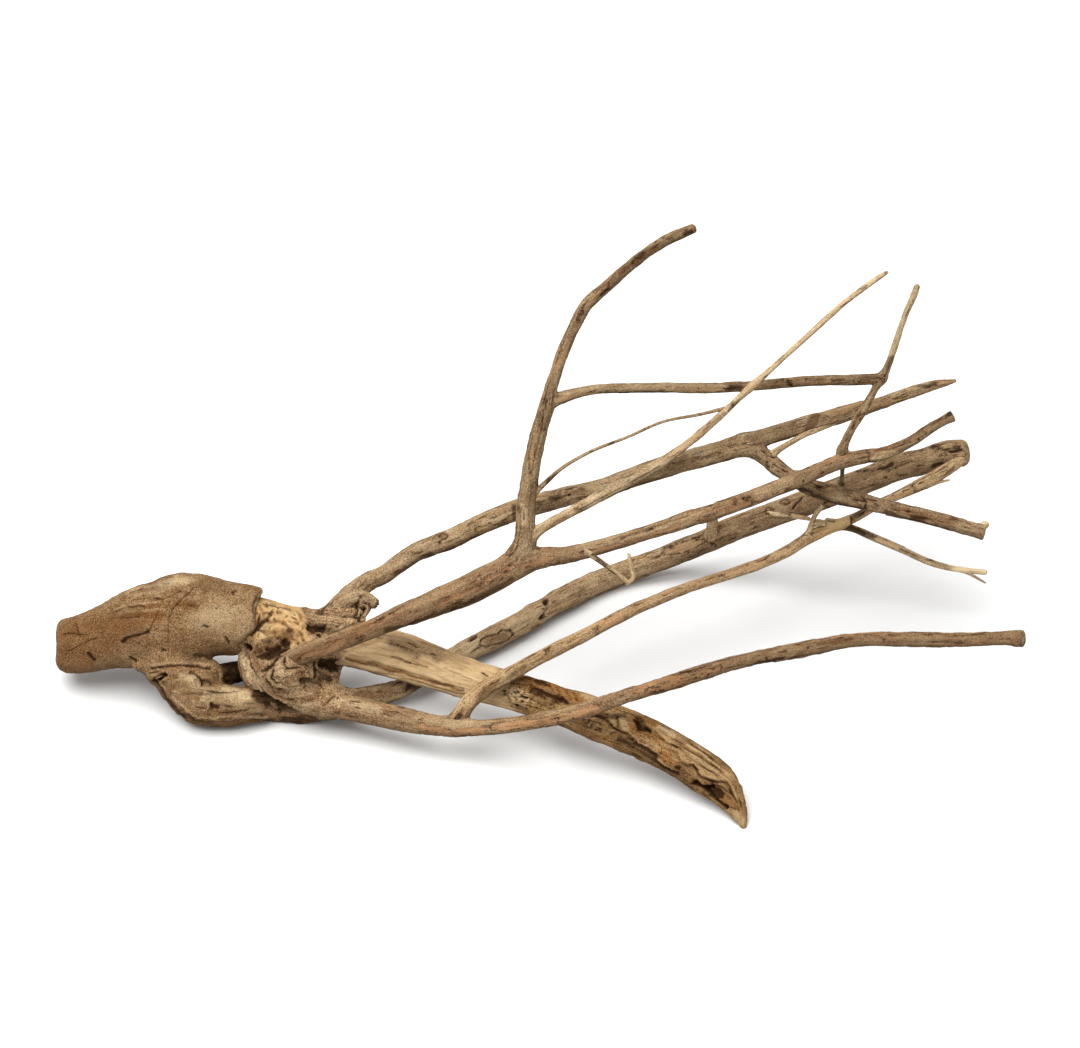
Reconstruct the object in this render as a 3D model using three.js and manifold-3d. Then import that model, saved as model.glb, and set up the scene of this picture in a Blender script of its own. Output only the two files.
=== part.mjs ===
// A spiderwood root: one piece of weathered azalea root wood, as grown and as pulled from the soil.
// A stout trunk stub runs into a gnarled knot, and the knot gives off a fan of long thin branches.
// A root loops under the trunk, and a half of the split stem reaches down to the ground as a slab.
// Everything grew together, so it is a single solid.
//
// Millimetres, +Z up, resting on Z = 0 at three worn spots, with the origin under the middle.
import * as THREE from "three";
import { mergeVertices } from "three/addons/utils/BufferGeometryUtils.js";
import Module from "manifold-3d";

// The root's limbs are charted as someone sees them who looks down on it from the front.
// u runs right, v runs up the chart, d comes out of it towards the eye, and r is the limb's half width.
// All are millimetres at the chart's own plane, which is EYE_DISTANCE from the eye.
const EYE_DISTANCE = 1500;
const EYE_ELEVATION = THREE.MathUtils.degToRad(40);
// Where the chart's centre lies over the ground, with the whole root's middle at X = 0 and Y = 0.
const CHART_CENTRE = new THREE.Vector3(7.4, 30.6, 77.9);

const TO_EYE = new THREE.Vector3(0, -Math.cos(EYE_ELEVATION), Math.sin(EYE_ELEVATION));
const UP_CHART = new THREE.Vector3(0, Math.sin(EYE_ELEVATION), Math.cos(EYE_ELEVATION));

// Each row of a route is [u, v, d, r], or [u, v, d, r, depth] where the limb isn't round in section
// and depth is its half thickness towards the eye. step is the length of one facet along the limb.
const LIMBS = {
  trunk: {
    sides: 20, step: 8,
    route: [
      [-241.4, -60.6, -12, 10.4, 9.5], [-240.2, -60.6, -12, 12.5, 11.5], [-232, -60.6, -12, 15.1, 13.5],
      [-220, -57.6, -10, 15.8, 15], [-212, -55.3, -9, 17, 16], [-204.5, -53.3, -7, 19.3, 17.5],
      [-195, -50.9, -5, 21.1, 19], [-185, -49, -4, 22.2, 20], [-177.5, -47.6, -3, 23.4, 20],
      [-170, -47.8, -2, 22.6, 19.5], [-160, -46.9, -1, 18.9, 18.5], [-150, -47.5, 0, 17.7, 18],
      [-138.5, -47.3, 0, 15.2, 16],
    ],
  },
  heartwood: {
    sides: 14, step: 8,
    route: [
      [-150, -50, 0, 14, 14], [-136, -51, 0, 14.8, 15], [-128, -52, -1, 12.3, 13],
      [-119, -52, -3, 10, 10], [-108, -52, -6, 7, 7],
    ],
  },
  under_root: {
    sides: 14, step: 7,
    route: [
      [-186.5, -66, 0, 12.4], [-180.3, -79, 3, 12], [-170.8, -89, 4, 11.7], [-157.5, -91.2, 3, 10.8],
      [-145, -91, 1, 9], [-132.5, -92.8, -3, 6.6], [-119, -95.5, -2, 5.2], [-105, -93.8, 3, 4.4],
      [-92, -94, 12, 4],
    ],
  },
  inner_root: {
    sides: 10, step: 6,
    route: [
      [-173, -74, 0, 6.5], [-163, -76, -7, 5.7], [-155, -75, -11, 5.5], [-148, -73, -13, 4.7],
      [-134, -69, -11, 6],
    ],
  },
  upper_branch: {
    sides: 10, step: 12,
    route: [
      [-112, -52, -7, 7.8], [-104, -47.4, -9, 7], [-97.5, -40, -9, 6.5], [-91, -33.3, -8.5, 5.6],
      [-85, -28.5, -8, 4.8], [-78, -25, -6, 4.6], [-62, -14.2, -3, 4.6], [-45, -7.6, -1, 4.8],
      [-30, -0.4, 0, 5], [-12, 6.9, 1, 5.1], [12, 13.4, 1, 4.9], [30, 17.4, 0, 5.1], [45, 22.8, -1, 4.9],
      [60, 28, -2, 5.3], [78, 32.8, -3, 5.3], [100, 39.3, -5, 5.1], [114, 44, -7, 4.3],
      [135, 50.4, -10, 4.2], [158, 56.8, -14, 3.9], [170, 60.2, -16, 3], [182, 64.5, -18, 3.1],
      [196, 69, -21, 2.6], [207.3, 71.6, -23, 0.9],
    ],
  },
  snag: {
    sides: 8, step: 5,
    route: [[-99, -42, -7, 5.5], [-92, -38, -3, 4.6], [-87, -37.5, -1, 3.6], [-82.6, -39.7, 0, 2.7]],
  },
  snag_lip: {
    sides: 7, step: 5,
    route: [[-91, -37, -3, 3.4], [-87.5, -42, -1, 3], [-90, -46.5, 0, 2.4], [-91.5, -49, 1, 1.4]],
  },
  splinters: {
    sides: 7, step: 7,
    route: [[-118, -51, 4, 6.5], [-106, -51, 6, 5], [-97, -50, 7, 3.4], [-88.5, -47.6, 8, 1.8]],
  },
  front_branch: {
    sides: 10, step: 11,
    route: [
      [-129, -69.5, 14, 4.2], [-118, -64.8, 20, 5], [-105, -60.4, 23, 5], [-92.5, -55.6, 24, 4.6],
      [-85, -52.8, 24.5, 4.7], [-75, -48.4, 25.5, 5.2], [-65, -44.7, 26.5, 6.1], [-50, -38.5, 28, 6.8],
      [-35, -32.5, 28, 7.3], [-20, -25, 28, 7.2], [-9, -19.2, 28, 6.4], [1, -16.8, 28, 5.2],
      [11, -15.8, 28, 4.3], [25, -12.7, 27, 3.8], [40, -8.5, 26, 3.6], [60, -2.3, 23, 3.8],
      [72, 1.7, 21, 4.1], [100, 10.9, 17, 4], [119, 18.1, 15, 3.9], [130, 22.5, 14, 4],
      [140, 27, 13, 3.7], [151, 31.3, 12, 3.6], [163, 33.7, 12, 3.5], [172, 35.3, 13, 3.2],
      [180, 38.5, 14, 2.8], [188, 42.9, 16, 2.8], [196, 48.1, 18, 2.7], [203, 52.2, 19, 2.5],
      [207, 54.6, 20, 2.8],
    ],
  },
  tall_branch: {
    sides: 9, step: 10,
    route: [
      [-12, -19, 28, 6.4], [-8, -9.5, 29, 5.5], [-7.3, -0.5, 30, 4.9], [-7, 9, 31, 5],
      [-5.3, 21, 32, 4.6], [-3.4, 33, 33, 4.6], [-0.2, 47, 35, 4.5], [3.6, 59.5, 37, 4.1],
      [6, 69, 38, 3.3], [10.9, 84.3, 40, 3], [16.8, 98, 43, 2.9], [21.4, 106, 45, 3.1],
      [27.4, 112.4, 47, 3], [38.8, 121.9, 51, 3.1], [46.2, 129, 54, 2.9], [58, 137.9, 58, 2.6],
      [73, 146, 62, 2.8], [78.8, 148.6, 63, 2.3],
    ],
  },
  cross_branch: {
    sides: 8, step: 12,
    route: [
      [1.5, 59.5, 37, 3.4], [9.5, 62.6, 37, 3.1], [17, 65.2, 36, 2.7], [30, 67.4, 34, 2.5],
      [55, 68.2, 30, 2.5], [85, 68, 23, 2.5], [105, 69, 18, 2.5], [130, 71.2, 13, 2.5],
      [152, 72, 11, 2.6], [171, 72.6, 10, 2.7],
    ],
  },
  hooked_twig: {
    sides: 7, step: 7,
    route: [
      [151.5, 30, 12, 3], [151, 36.4, 13, 3.1], [152.4, 40.5, 13, 2.3], [155.5, 47, 12, 2],
      [158.8, 52.6, 12, 2.2], [163.6, 60.2, 11, 2.1], [167.4, 67.4, 10, 1.9], [170.6, 72.8, 10, 2.7],
      [173.4, 77.8, 9, 1.9], [177.5, 89.3, 8, 1.7], [182.8, 104.8, 6, 1.5], [187.7, 116.5, 4, 1.6],
      [188.8, 119, 4, 1],
    ],
  },
  link_thread: {
    sides: 6, step: 8,
    route: [
      [151.5, 31, 11, 1.7], [151.2, 27, 0, 1.1], [151, 24, -22, 1.1], [150.6, 20.5, -40, 1.4],
      [150.4, 18, -47, 2.4],
    ],
  },
  whip: {
    sides: 7, step: 12,
    route: [
      [-8, -10.5, 28, 3.2], [-2.2, -4.4, 30, 2.9], [4, -0.3, 28, 2.5], [11, 3.7, 24.5, 2.5],
      [18, 7.5, 21, 2.6], [32, 15, 13, 2.9], [46, 22.5, 9, 2.7], [60, 30.6, 9, 2.3],
      [72, 38.8, 12, 2.1], [90.4, 54.3, 19, 1.8], [100.4, 63.8, 24, 1.7], [106, 68.9, 26, 2.2],
      [112.4, 74.7, 28, 1.5], [130.3, 90.8, 35, 1.4], [150, 108.8, 43, 1.5], [166, 121.3, 49, 1.2],
      [173, 126, 52, 0.6],
    ],
  },
  thread: {
    sides: 6, step: 12,
    route: [
      [-3.5, 14.5, 31, 1.6], [2.5, 20.4, 31, 1.3], [10, 27.4, 30, 1.1], [24, 35.8, 28, 1],
      [45, 44, 25, 0.9], [61, 51, 23, 0.9], [80, 54.8, 21, 0.9], [94, 58.2, 20, 1.1],
    ],
  },
  side_branch: {
    sides: 9, step: 10,
    route: [
      [102, 39.5, -6, 4.6], [108.5, 35.8, -5, 4.2], [121, 26.6, -3, 3.8], [128, 21.6, -2, 3.8],
      [136, 18.2, -2, 4.1], [146, 15.2, -3, 4.5], [165, 10.2, -4, 4.2], [176, 7.7, -3, 3.8],
      [197, 2.8, 1, 3.7], [210, -0.8, 3, 3.9], [222.4, -4, 4, 4.3],
    ],
  },
  side_burr: {
    sides: 6, step: 4,
    route: [[219.5, -2.8, 4, 2.2], [223, 0.4, 4.5, 1.7], [224, 2.2, 5, 1.1]],
  },
  side_shoot: {
    sides: 6, step: 9,
    route: [
      [114, 33, -4, 2.6], [121.5, 38, -4, 1.7], [134, 43.8, -7, 1.6], [146, 48.8, -10, 1.5],
      [154, 53, -12, 1.5],
    ],
  },
  back_branch: {
    sides: 11, step: 12,
    route: [
      [-112, -83, -2, 7], [-96, -87.2, -4, 5.4], [-85, -86.3, -6, 5.4], [-75, -84.5, -8, 5.3],
      [-67, -81.7, -11, 5], [-59, -77.3, -15, 4.8], [-51, -71.8, -21, 5], [-39, -64.8, -30, 5.4],
      [-20, -55.2, -43, 6], [-7.5, -48.4, -51, 5.9], [2.5, -42.3, -58, 5.6], [13, -36.7, -65, 5.9],
      [30, -28.8, -76.5, 5.9], [50, -21.3, -82, 5.7], [70, -13.8, -80, 5.8], [83, -8.4, -76, 5.8],
      [100, -1.2, -70, 6.1], [118, 5.2, -62, 6.2], [133, 10.6, -56, 6.3], [150, 17, -48, 6.5],
      [165, 22.6, -42, 6.5], [180, 28.3, -37, 6.6], [193, 31.8, -33, 6.5], [206, 35.3, -30, 6.8],
      [213, 37, -29, 6.3],
    ],
  },
  back_stub: {
    sides: 8, step: 5,
    route: [[86, -8, -73, 3.6], [86, -2, -68, 3.1], [86, 3.2, -64, 2.7]],
  },
  back_splinter: {
    sides: 6, step: 7,
    route: [[111, 6.5, -62, 1.4], [117.5, 5.2, -56.5, 1.3], [125, 4.2, -54, 1.2], [134.5, 2.6, -51, 1]],
  },
  curved_branch: {
    sides: 9, step: 10,
    route: [
      [-43, -102.3, 26, 4.4], [-39.8, -95.2, 27, 4], [-35.4, -89.2, 28, 3.9], [-26, -81.4, 28, 4],
      [-11, -72.8, 27, 3.7], [-1, -67.2, 26, 3.5], [6, -63.6, 25, 3.5], [25, -54.3, 20, 3.1],
      [38, -47.3, 15, 3.2], [60, -37.2, 7, 2.9], [80, -29.7, 0, 2.6], [98, -24, -6, 2.7],
      [111, -19.5, -10, 2.7], [123, -13.8, -14, 2.8], [136, -6, -18, 3], [150, 0, -21, 2.8],
      [160, 4.4, -22, 2.3], [170, 12.2, -23, 2], [176, 14.2, -23, 2.2], [184, 17.4, -23, 2.9],
      [194, 21.8, -23, 3.3], [203, 26.8, -23, 3.1], [208, 30.2, -24, 2.8], [211, 32.2, -25, 2.4],
    ],
  },
  curl: {
    sides: 6, step: 5,
    route: [[133.5, -7, -17, 2], [135.5, -1, -16, 1.3], [137, 3.4, -14, 1.2], [141.5, 9.2, -9, 1.1]],
  },
  curl_stub: {
    sides: 6, step: 4,
    route: [[135.4, -1, -16, 1.3], [138.6, 0.6, -16, 1.8], [142, 0.2, -17, 1.5]],
  },
  split_hair: {
    sides: 5, step: 6,
    route: [[193, 19, -23, 1.4], [199, 20.8, -22, 0.9], [204.6, 22, -21, 0.5]],
  },
  frayed_twig: {
    sides: 6, step: 9,
    route: [
      [144, 1, -19, 2.2], [151, -1, -22, 1.8], [157.5, -2.6, -23.5, 1.8], [165, -5.8, -25, 1.9],
      [180, -12.4, -27, 1.8], [195, -19.1, -28.5, 1.6], [203, -21.5, -29, 1.5], [212, -22.9, -30, 1.3],
      [223.2, -24, -31, 1],
    ],
  },
  frayed_tip: {
    sides: 5, step: 6,
    route: [[210, -22.6, -30, 1.1], [217, -26.1, -30, 0.9], [223, -29.6, -30, 0.7]],
  },
  low_branch: {
    sides: 10, step: 12,
    route: [
      [-122, -82, 6, 8.5], [-109, -88, 10, 7.4], [-98, -91.3, 13, 6.6], [-90, -93, 15, 6.4],
      [-80, -95.4, 18, 6], [-70, -97.3, 21, 6], [-60, -99.4, 23, 5.6], [-50, -100.8, 26, 4.9],
      [-40, -101.6, 28, 4.3], [-27, -101.7, 32, 3.9], [-12, -100.2, 37, 3.8], [12, -95.8, 45, 4],
      [25, -92.2, 48, 4.1], [38, -87.6, 51, 3.7], [55, -82.4, 54, 3.6], [75, -76.2, 58, 3.9],
      [90, -71.5, 60, 3.6], [101, -68.5, 62, 3.4], [130, -63, 68, 3.9], [148, -59.2, 71, 3.7],
      [162, -57.6, 73, 3.5], [190, -57.8, 77, 3.7], [218, -57.8, 82, 3.6], [234, -57.2, 84, 3.9],
      [241.7, -57.4, 85, 4.3],
    ],
  },
  slab: {
    sides: 14, step: 11,
    route: [
      [-118, -55, -3, 8.5, 6], [-106, -59, 0, 10.2, 5], [-94, -61, 2, 10.8, 4.6],
      [-70, -66, 6, 11.5, 4.3], [-50, -72.9, 10, 10.6, 4.3], [-35, -77.8, 14, 9.8, 4.4],
      [-20, -81.8, 17, 9.2, 4.8], [-4, -86.4, 21, 9.3, 5.2], [12, -91.4, 25, 9.4, 5.6],
      [30, -98.3, 31, 10.5, 6], [50, -106.3, 37, 10.7, 6.2], [70, -116.6, 43, 10.5, 6.2],
      [83, -124.8, 46, 10, 5.8], [91, -131.4, 48, 9, 5.4], [97, -139, 50, 7, 4.6],
      [100.6, -145.6, 52, 4.5, 3.4], [101.8, -151, 53, 1.8, 1.8],
    ],
  },
  broken_twig: {
    sides: 6, step: 6,
    route: [[18, -11, 28, 1.7], [24, -14.8, 30, 1.5], [35, -22.8, 27, 1.2], [44.6, -30.6, 23, 1.1]],
  },
  broken_tip: {
    sides: 5, step: 6,
    route: [[43.6, -31.6, 22.6, 1], [46.2, -28.4, 24, 1.1], [45.4, -22.4, 25.5, 1], [44, -15, 27, 0.8]],
  },
};

// Swellings that no route gives: [u, v, d, half width, half height, half depth].
const SWELLINGS = [
  [-125, -68, 1, 26, 25.5, 18],
  [-128, -73, 14, 12, 10, 9],
  [-108, -88, 8, 16, 8.5, 10],
  [-170, -76, 3, 7.5, 6, 8],
  [-194, -76, 1, 5, 5.5, 6],
];

// A charted place as a point over the ground. What is nearer to the eye is smaller than it looks.
function place(u, v, d) {
  const nearness = 1 - d / EYE_DISTANCE;
  return CHART_CENTRE.clone()
    .add(new THREE.Vector3(u * nearness, 0, 0))
    .addScaledVector(UP_CHART, v * nearness)
    .addScaledVector(TO_EYE, d);
}

// A limb: a closed cylinder bent along its route. Its facets lie on the route's half widths.
function limb({ route, sides, step }) {
  const path = new THREE.CatmullRomCurve3(route.map(([u, v, d]) => place(u, v, d)), false, "centripetal");
  const tube = new THREE.CylinderGeometry(1, 1, 1, sides, Math.ceil(path.getLength() / step));
  const vertex = tube.getAttribute("position");
  for (let i = 0; i < vertex.count; i++) {
    const t = path.getUtoTmapping(vertex.getY(i) + 0.5);
    const at = Math.min(Math.floor(t * (route.length - 1)), route.length - 2);
    const between = t * (route.length - 1) - at;
    const row = route[at].map((value, k) => THREE.MathUtils.lerp(value, route[at + 1][k], between));
    const [, , d, r, depth] = row;
    const nearness = (1 - d / EYE_DISTANCE) / Math.cos(Math.PI / sides);
    const along = path.getTangent(t);
    const across = new THREE.Vector3().crossVectors(along, TO_EYE).normalize();
    const outward = new THREE.Vector3().crossVectors(across, along);
    const point = path.getPoint(t)
      .addScaledVector(across, vertex.getX(i) * r * nearness)
      .addScaledVector(outward, vertex.getZ(i) * (depth ?? r) * nearness);
    vertex.setXYZ(i, point.x, point.y, point.z);
  }
  return tube;
}

// A swelling: an ellipsoid that lies square to the chart.
function swelling([u, v, d, width, height, depth]) {
  const ball = new THREE.SphereGeometry(1, 20, 14);
  const stance = new THREE.Matrix4().makeBasis(new THREE.Vector3(1, 0, 0), UP_CHART, TO_EYE);
  return ball.applyMatrix4(
    stance.setPosition(place(u, v, d)).scale(new THREE.Vector3(width, height, depth)),
  );
}

const wasm = await Module();
wasm.setup();

function solid(geometry) {
  for (const name of ["normal", "uv"]) geometry.deleteAttribute(name);
  const merged = mergeVertices(geometry, 1e-4);
  return new wasm.Manifold(
    new wasm.Mesh({
      numProp: 3,
      vertProperties: merged.getAttribute("position").array,
      triVerts: new Uint32Array(merged.index.array),
    }),
  );
}

function geometryOf(manifold) {
  const { vertProperties, triVerts } = manifold.getMesh();
  return new THREE.BufferGeometry()
    .setAttribute("position", new THREE.BufferAttribute(vertProperties, 3))
    .setIndex(new THREE.BufferAttribute(triVerts, 1));
}

// What would stand below the ground is worn away, which leaves the flat spots that the root rests on.
function wornFlat(manifold) {
  const ground = new THREE.BoxGeometry(1000, 1000, 100).translate(0, 0, -50);
  return manifold.subtract(solid(ground));
}

const grown = [...Object.values(LIMBS).map(limb), ...SWELLINGS.map(swelling)]
  .map(solid)
  .reduce((whole, piece) => whole.add(piece));
const geometry = geometryOf(wornFlat(grown.asOriginal()).simplify(0.08));
geometry.computeVertexNormals();

const wood = new THREE.MeshStandardMaterial({ color: 0x9c7f5c, roughness: 0.85, metalness: 0 });
const root = new THREE.Mesh(geometry, wood);
root.name = "spiderwood_root";

export default new THREE.Group().add(root);
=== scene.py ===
import itertools
import math

import bpy
import numpy as np
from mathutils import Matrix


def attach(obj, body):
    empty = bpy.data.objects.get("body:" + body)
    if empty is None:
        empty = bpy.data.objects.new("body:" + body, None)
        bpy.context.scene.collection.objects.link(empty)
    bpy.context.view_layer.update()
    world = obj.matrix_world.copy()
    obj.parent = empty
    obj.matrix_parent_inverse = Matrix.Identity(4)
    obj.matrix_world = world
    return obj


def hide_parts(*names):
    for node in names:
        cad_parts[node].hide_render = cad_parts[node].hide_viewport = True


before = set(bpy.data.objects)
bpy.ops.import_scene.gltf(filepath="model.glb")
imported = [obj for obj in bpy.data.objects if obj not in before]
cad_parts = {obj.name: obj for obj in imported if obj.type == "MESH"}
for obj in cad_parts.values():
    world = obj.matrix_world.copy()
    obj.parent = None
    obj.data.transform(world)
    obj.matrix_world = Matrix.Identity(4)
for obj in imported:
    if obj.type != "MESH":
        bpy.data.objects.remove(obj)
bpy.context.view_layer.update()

# The camera. It looks down on the root from its front through a long lens, which shows it nearly
# without perspective. The limbs below are charted as they are seen from it: u runs right, v runs up
# and d comes out towards the eye, in millimetres at the chart's own plane.
EYE_DISTANCE = 1.5
EYE_ELEVATION = math.radians(40)
CHART_CENTRE = np.array([0.0074, 0.0306, 0.0779])
CHART_WIDTH = 0.54
SENSOR_WIDTH = 36
TO_EYE = np.array([0, -math.cos(EYE_ELEVATION), math.sin(EYE_ELEVATION)])
UP_CHART = np.array([0, math.sin(EYE_ELEVATION), math.cos(EYE_ELEVATION)])

camera = bpy.data.objects.new("camera", bpy.data.cameras.new("camera"))
bpy.context.collection.objects.link(camera)
camera.data.sensor_width = SENSOR_WIDTH
camera.data.lens = SENSOR_WIDTH * EYE_DISTANCE / CHART_WIDTH
camera.location = CHART_CENTRE + EYE_DISTANCE * TO_EYE
camera.rotation_euler = (math.pi / 2 - EYE_ELEVATION, 0, 0)
bpy.context.scene.camera = camera


# The trunk stub and the root that loops under it. The stub is smooth grey-brown bark, rounded by
# water at its cut end and torn off at the knot. The root left it there, ran under it and came back
# to the knot, and a smaller root closes the loop behind.
TRUNK = [
    (-242.4, -60.4, -12, 10.8, 9.5), (-240.6, -60.4, -12, 12.6, 11.5), (-232, -60.4, -12, 14.2, 13.5),
    (-220, -57.6, -10, 15.8, 15), (-212, -55.3, -9, 17, 16), (-204.5, -53.3, -7, 19.3, 17.5),
    (-195, -50.9, -5, 21.1, 19), (-185, -49, -4, 22.2, 20), (-177.5, -47.6, -3, 23.4, 20),
    (-170, -46.5, -2, 21.1, 19.5), (-160, -46.9, -1, 18.9, 18.5), (-150, -47.8, 0, 18, 18),
    (-138.5, -47.3, 0, 15.2, 16),
]
UNDER_ROOT = [
    (-186.2, -66, 0, 12.2), (-179.8, -78.4, 3, 11.8), (-170.4, -88.2, 4, 11.5), (-157.5, -90.6, 3, 10.6),
    (-145, -90.4, 1, 8.8), (-132.5, -92, -3, 6.6), (-119, -94.4, -2, 5.2), (-105, -93, 3, 4.4),
    (-92, -94, 12, 4),
]
INNER_ROOT = [
    (-173, -74, 0, 6.5), (-163, -76, -7, 5.7), (-155, -74.6, -11, 5.8), (-148, -73, -13, 5),
    (-134, -69, -11, 6),
]
LOOP_SWELLINGS = [
    (-167, -74.6, 3, 7.8, 8, 8), (-192.6, -74.6, 1, 4.6, 4.6, 6), (-164.6, -75.6, 3, 5, 5.2, 6),
    (-199.5, -70, 0, 5, 4.4, 7),
]
TORN_EDGE = [
    (-140.6, -28), (-140.4, -34.5), (-142.2, -38), (-142.8, -43), (-141, -48), (-143, -53),
    (-146.5, -56.5), (-151, -60), (-153, -70),
]
CUT_END = -242
CUT_ROUNDING = 6
TORN_ROUNDING = 2
SWELLING_FILLET = 4
LOOP_FILLET = 1.6
INNER_FILLET = 2
TRUNK_BOX = ((-247, -110, -34), (-84, -20, 28))
TRUNK_STEP = 0.62
MILLIMETRE = 0.001

# Noise takes its slopes from here, and repeats after this many cells, a power of two.
NOISE_CELLS = 256
SHUFFLE = np.random.default_rng(7).permutation(NOISE_CELLS)
SLOPES = np.array([s for s in itertools.product((-1, 0, 1), repeat=3) if np.abs(s).sum() == 2], float)


def place(chart):
    """Charted points in millimetres as points over the ground in metres."""
    metres = np.asarray(chart, float) * MILLIMETRE
    nearness = 1 - metres[:, 2:] / EYE_DISTANCE
    across = metres[:, :1] * nearness * np.array([1, 0, 0])
    return CHART_CENTRE + across + metres[:, 1:2] * nearness * UP_CHART + metres[:, 2:] * TO_EYE


def noise(points):
    """Smooth noise from about -1 to 1, with lumps one unit across."""
    points = np.asarray(points, float)
    cell = np.floor(points).astype(int)
    part = points - cell
    fade = part * part * (3 - 2 * part)
    total = np.zeros(len(points))
    wrap = NOISE_CELLS - 1
    for corner in itertools.product((0, 1), repeat=3):
        at = (cell + corner) & wrap
        draw = SHUFFLE[(SHUFFLE[(SHUFFLE[at[:, 0]] + at[:, 1]) & wrap] + at[:, 2]) & wrap]
        weight = np.where(corner, fade, 1 - fade).prod(axis=1)
        total += weight * ((part - corner) * SLOPES[draw % len(SLOPES)]).sum(axis=1)
    return total


def ease(low, high, value):
    """0 below low and 1 above high, with a smooth rise between."""
    share = np.clip((value - low) / (high - low), 0, 1)
    return share * share * (3 - 2 * share)


# A route is followed in this many steps for each of its rows, and spaced evenly after that.
ROUTE_STEPS = 24


def smooth_route(route, spacing):
    """A route's stations, evenly spaced: u, v, d, half width and half depth of each. A route's own row
    may leave out the half depth, where it is as large as the half width."""
    rows = np.array([(*row, row[3]) if len(row) == 4 else row for row in route], float)
    steps = np.sqrt(np.linalg.norm(np.diff(rows[:, :3], axis=0), axis=1))
    knots = np.concatenate(([0], np.cumsum(steps)))
    slopes = np.diff(rows, axis=0) / steps[:, None]
    before, after = steps[:-1, None], steps[1:, None]
    bends = (slopes[:-1] * after + slopes[1:] * before) / (before + after)
    bends = np.vstack((slopes[:1], bends, slopes[-1:]))
    t = np.linspace(0, knots[-1], ROUTE_STEPS * len(rows))
    at = np.clip(np.searchsorted(knots, t, side="right") - 1, 0, len(steps) - 1)
    h = steps[at][:, None]
    x = (t - knots[at])[:, None] / h
    dense = (2 * x**3 - 3 * x**2 + 1) * rows[at] + (x**3 - 2 * x**2 + x) * h * bends[at]
    dense += (3 * x**2 - 2 * x**3) * rows[at + 1] + (x**3 - x**2) * h * bends[at + 1]
    length = np.concatenate(([0], np.cumsum(np.linalg.norm(np.diff(dense[:, :3], axis=0), axis=1))))
    even = np.linspace(0, length[-1], max(3, round(length[-1] / spacing)) + 1)
    return np.column_stack([np.interp(even, length, dense[:, k]) for k in range(5)])


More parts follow.
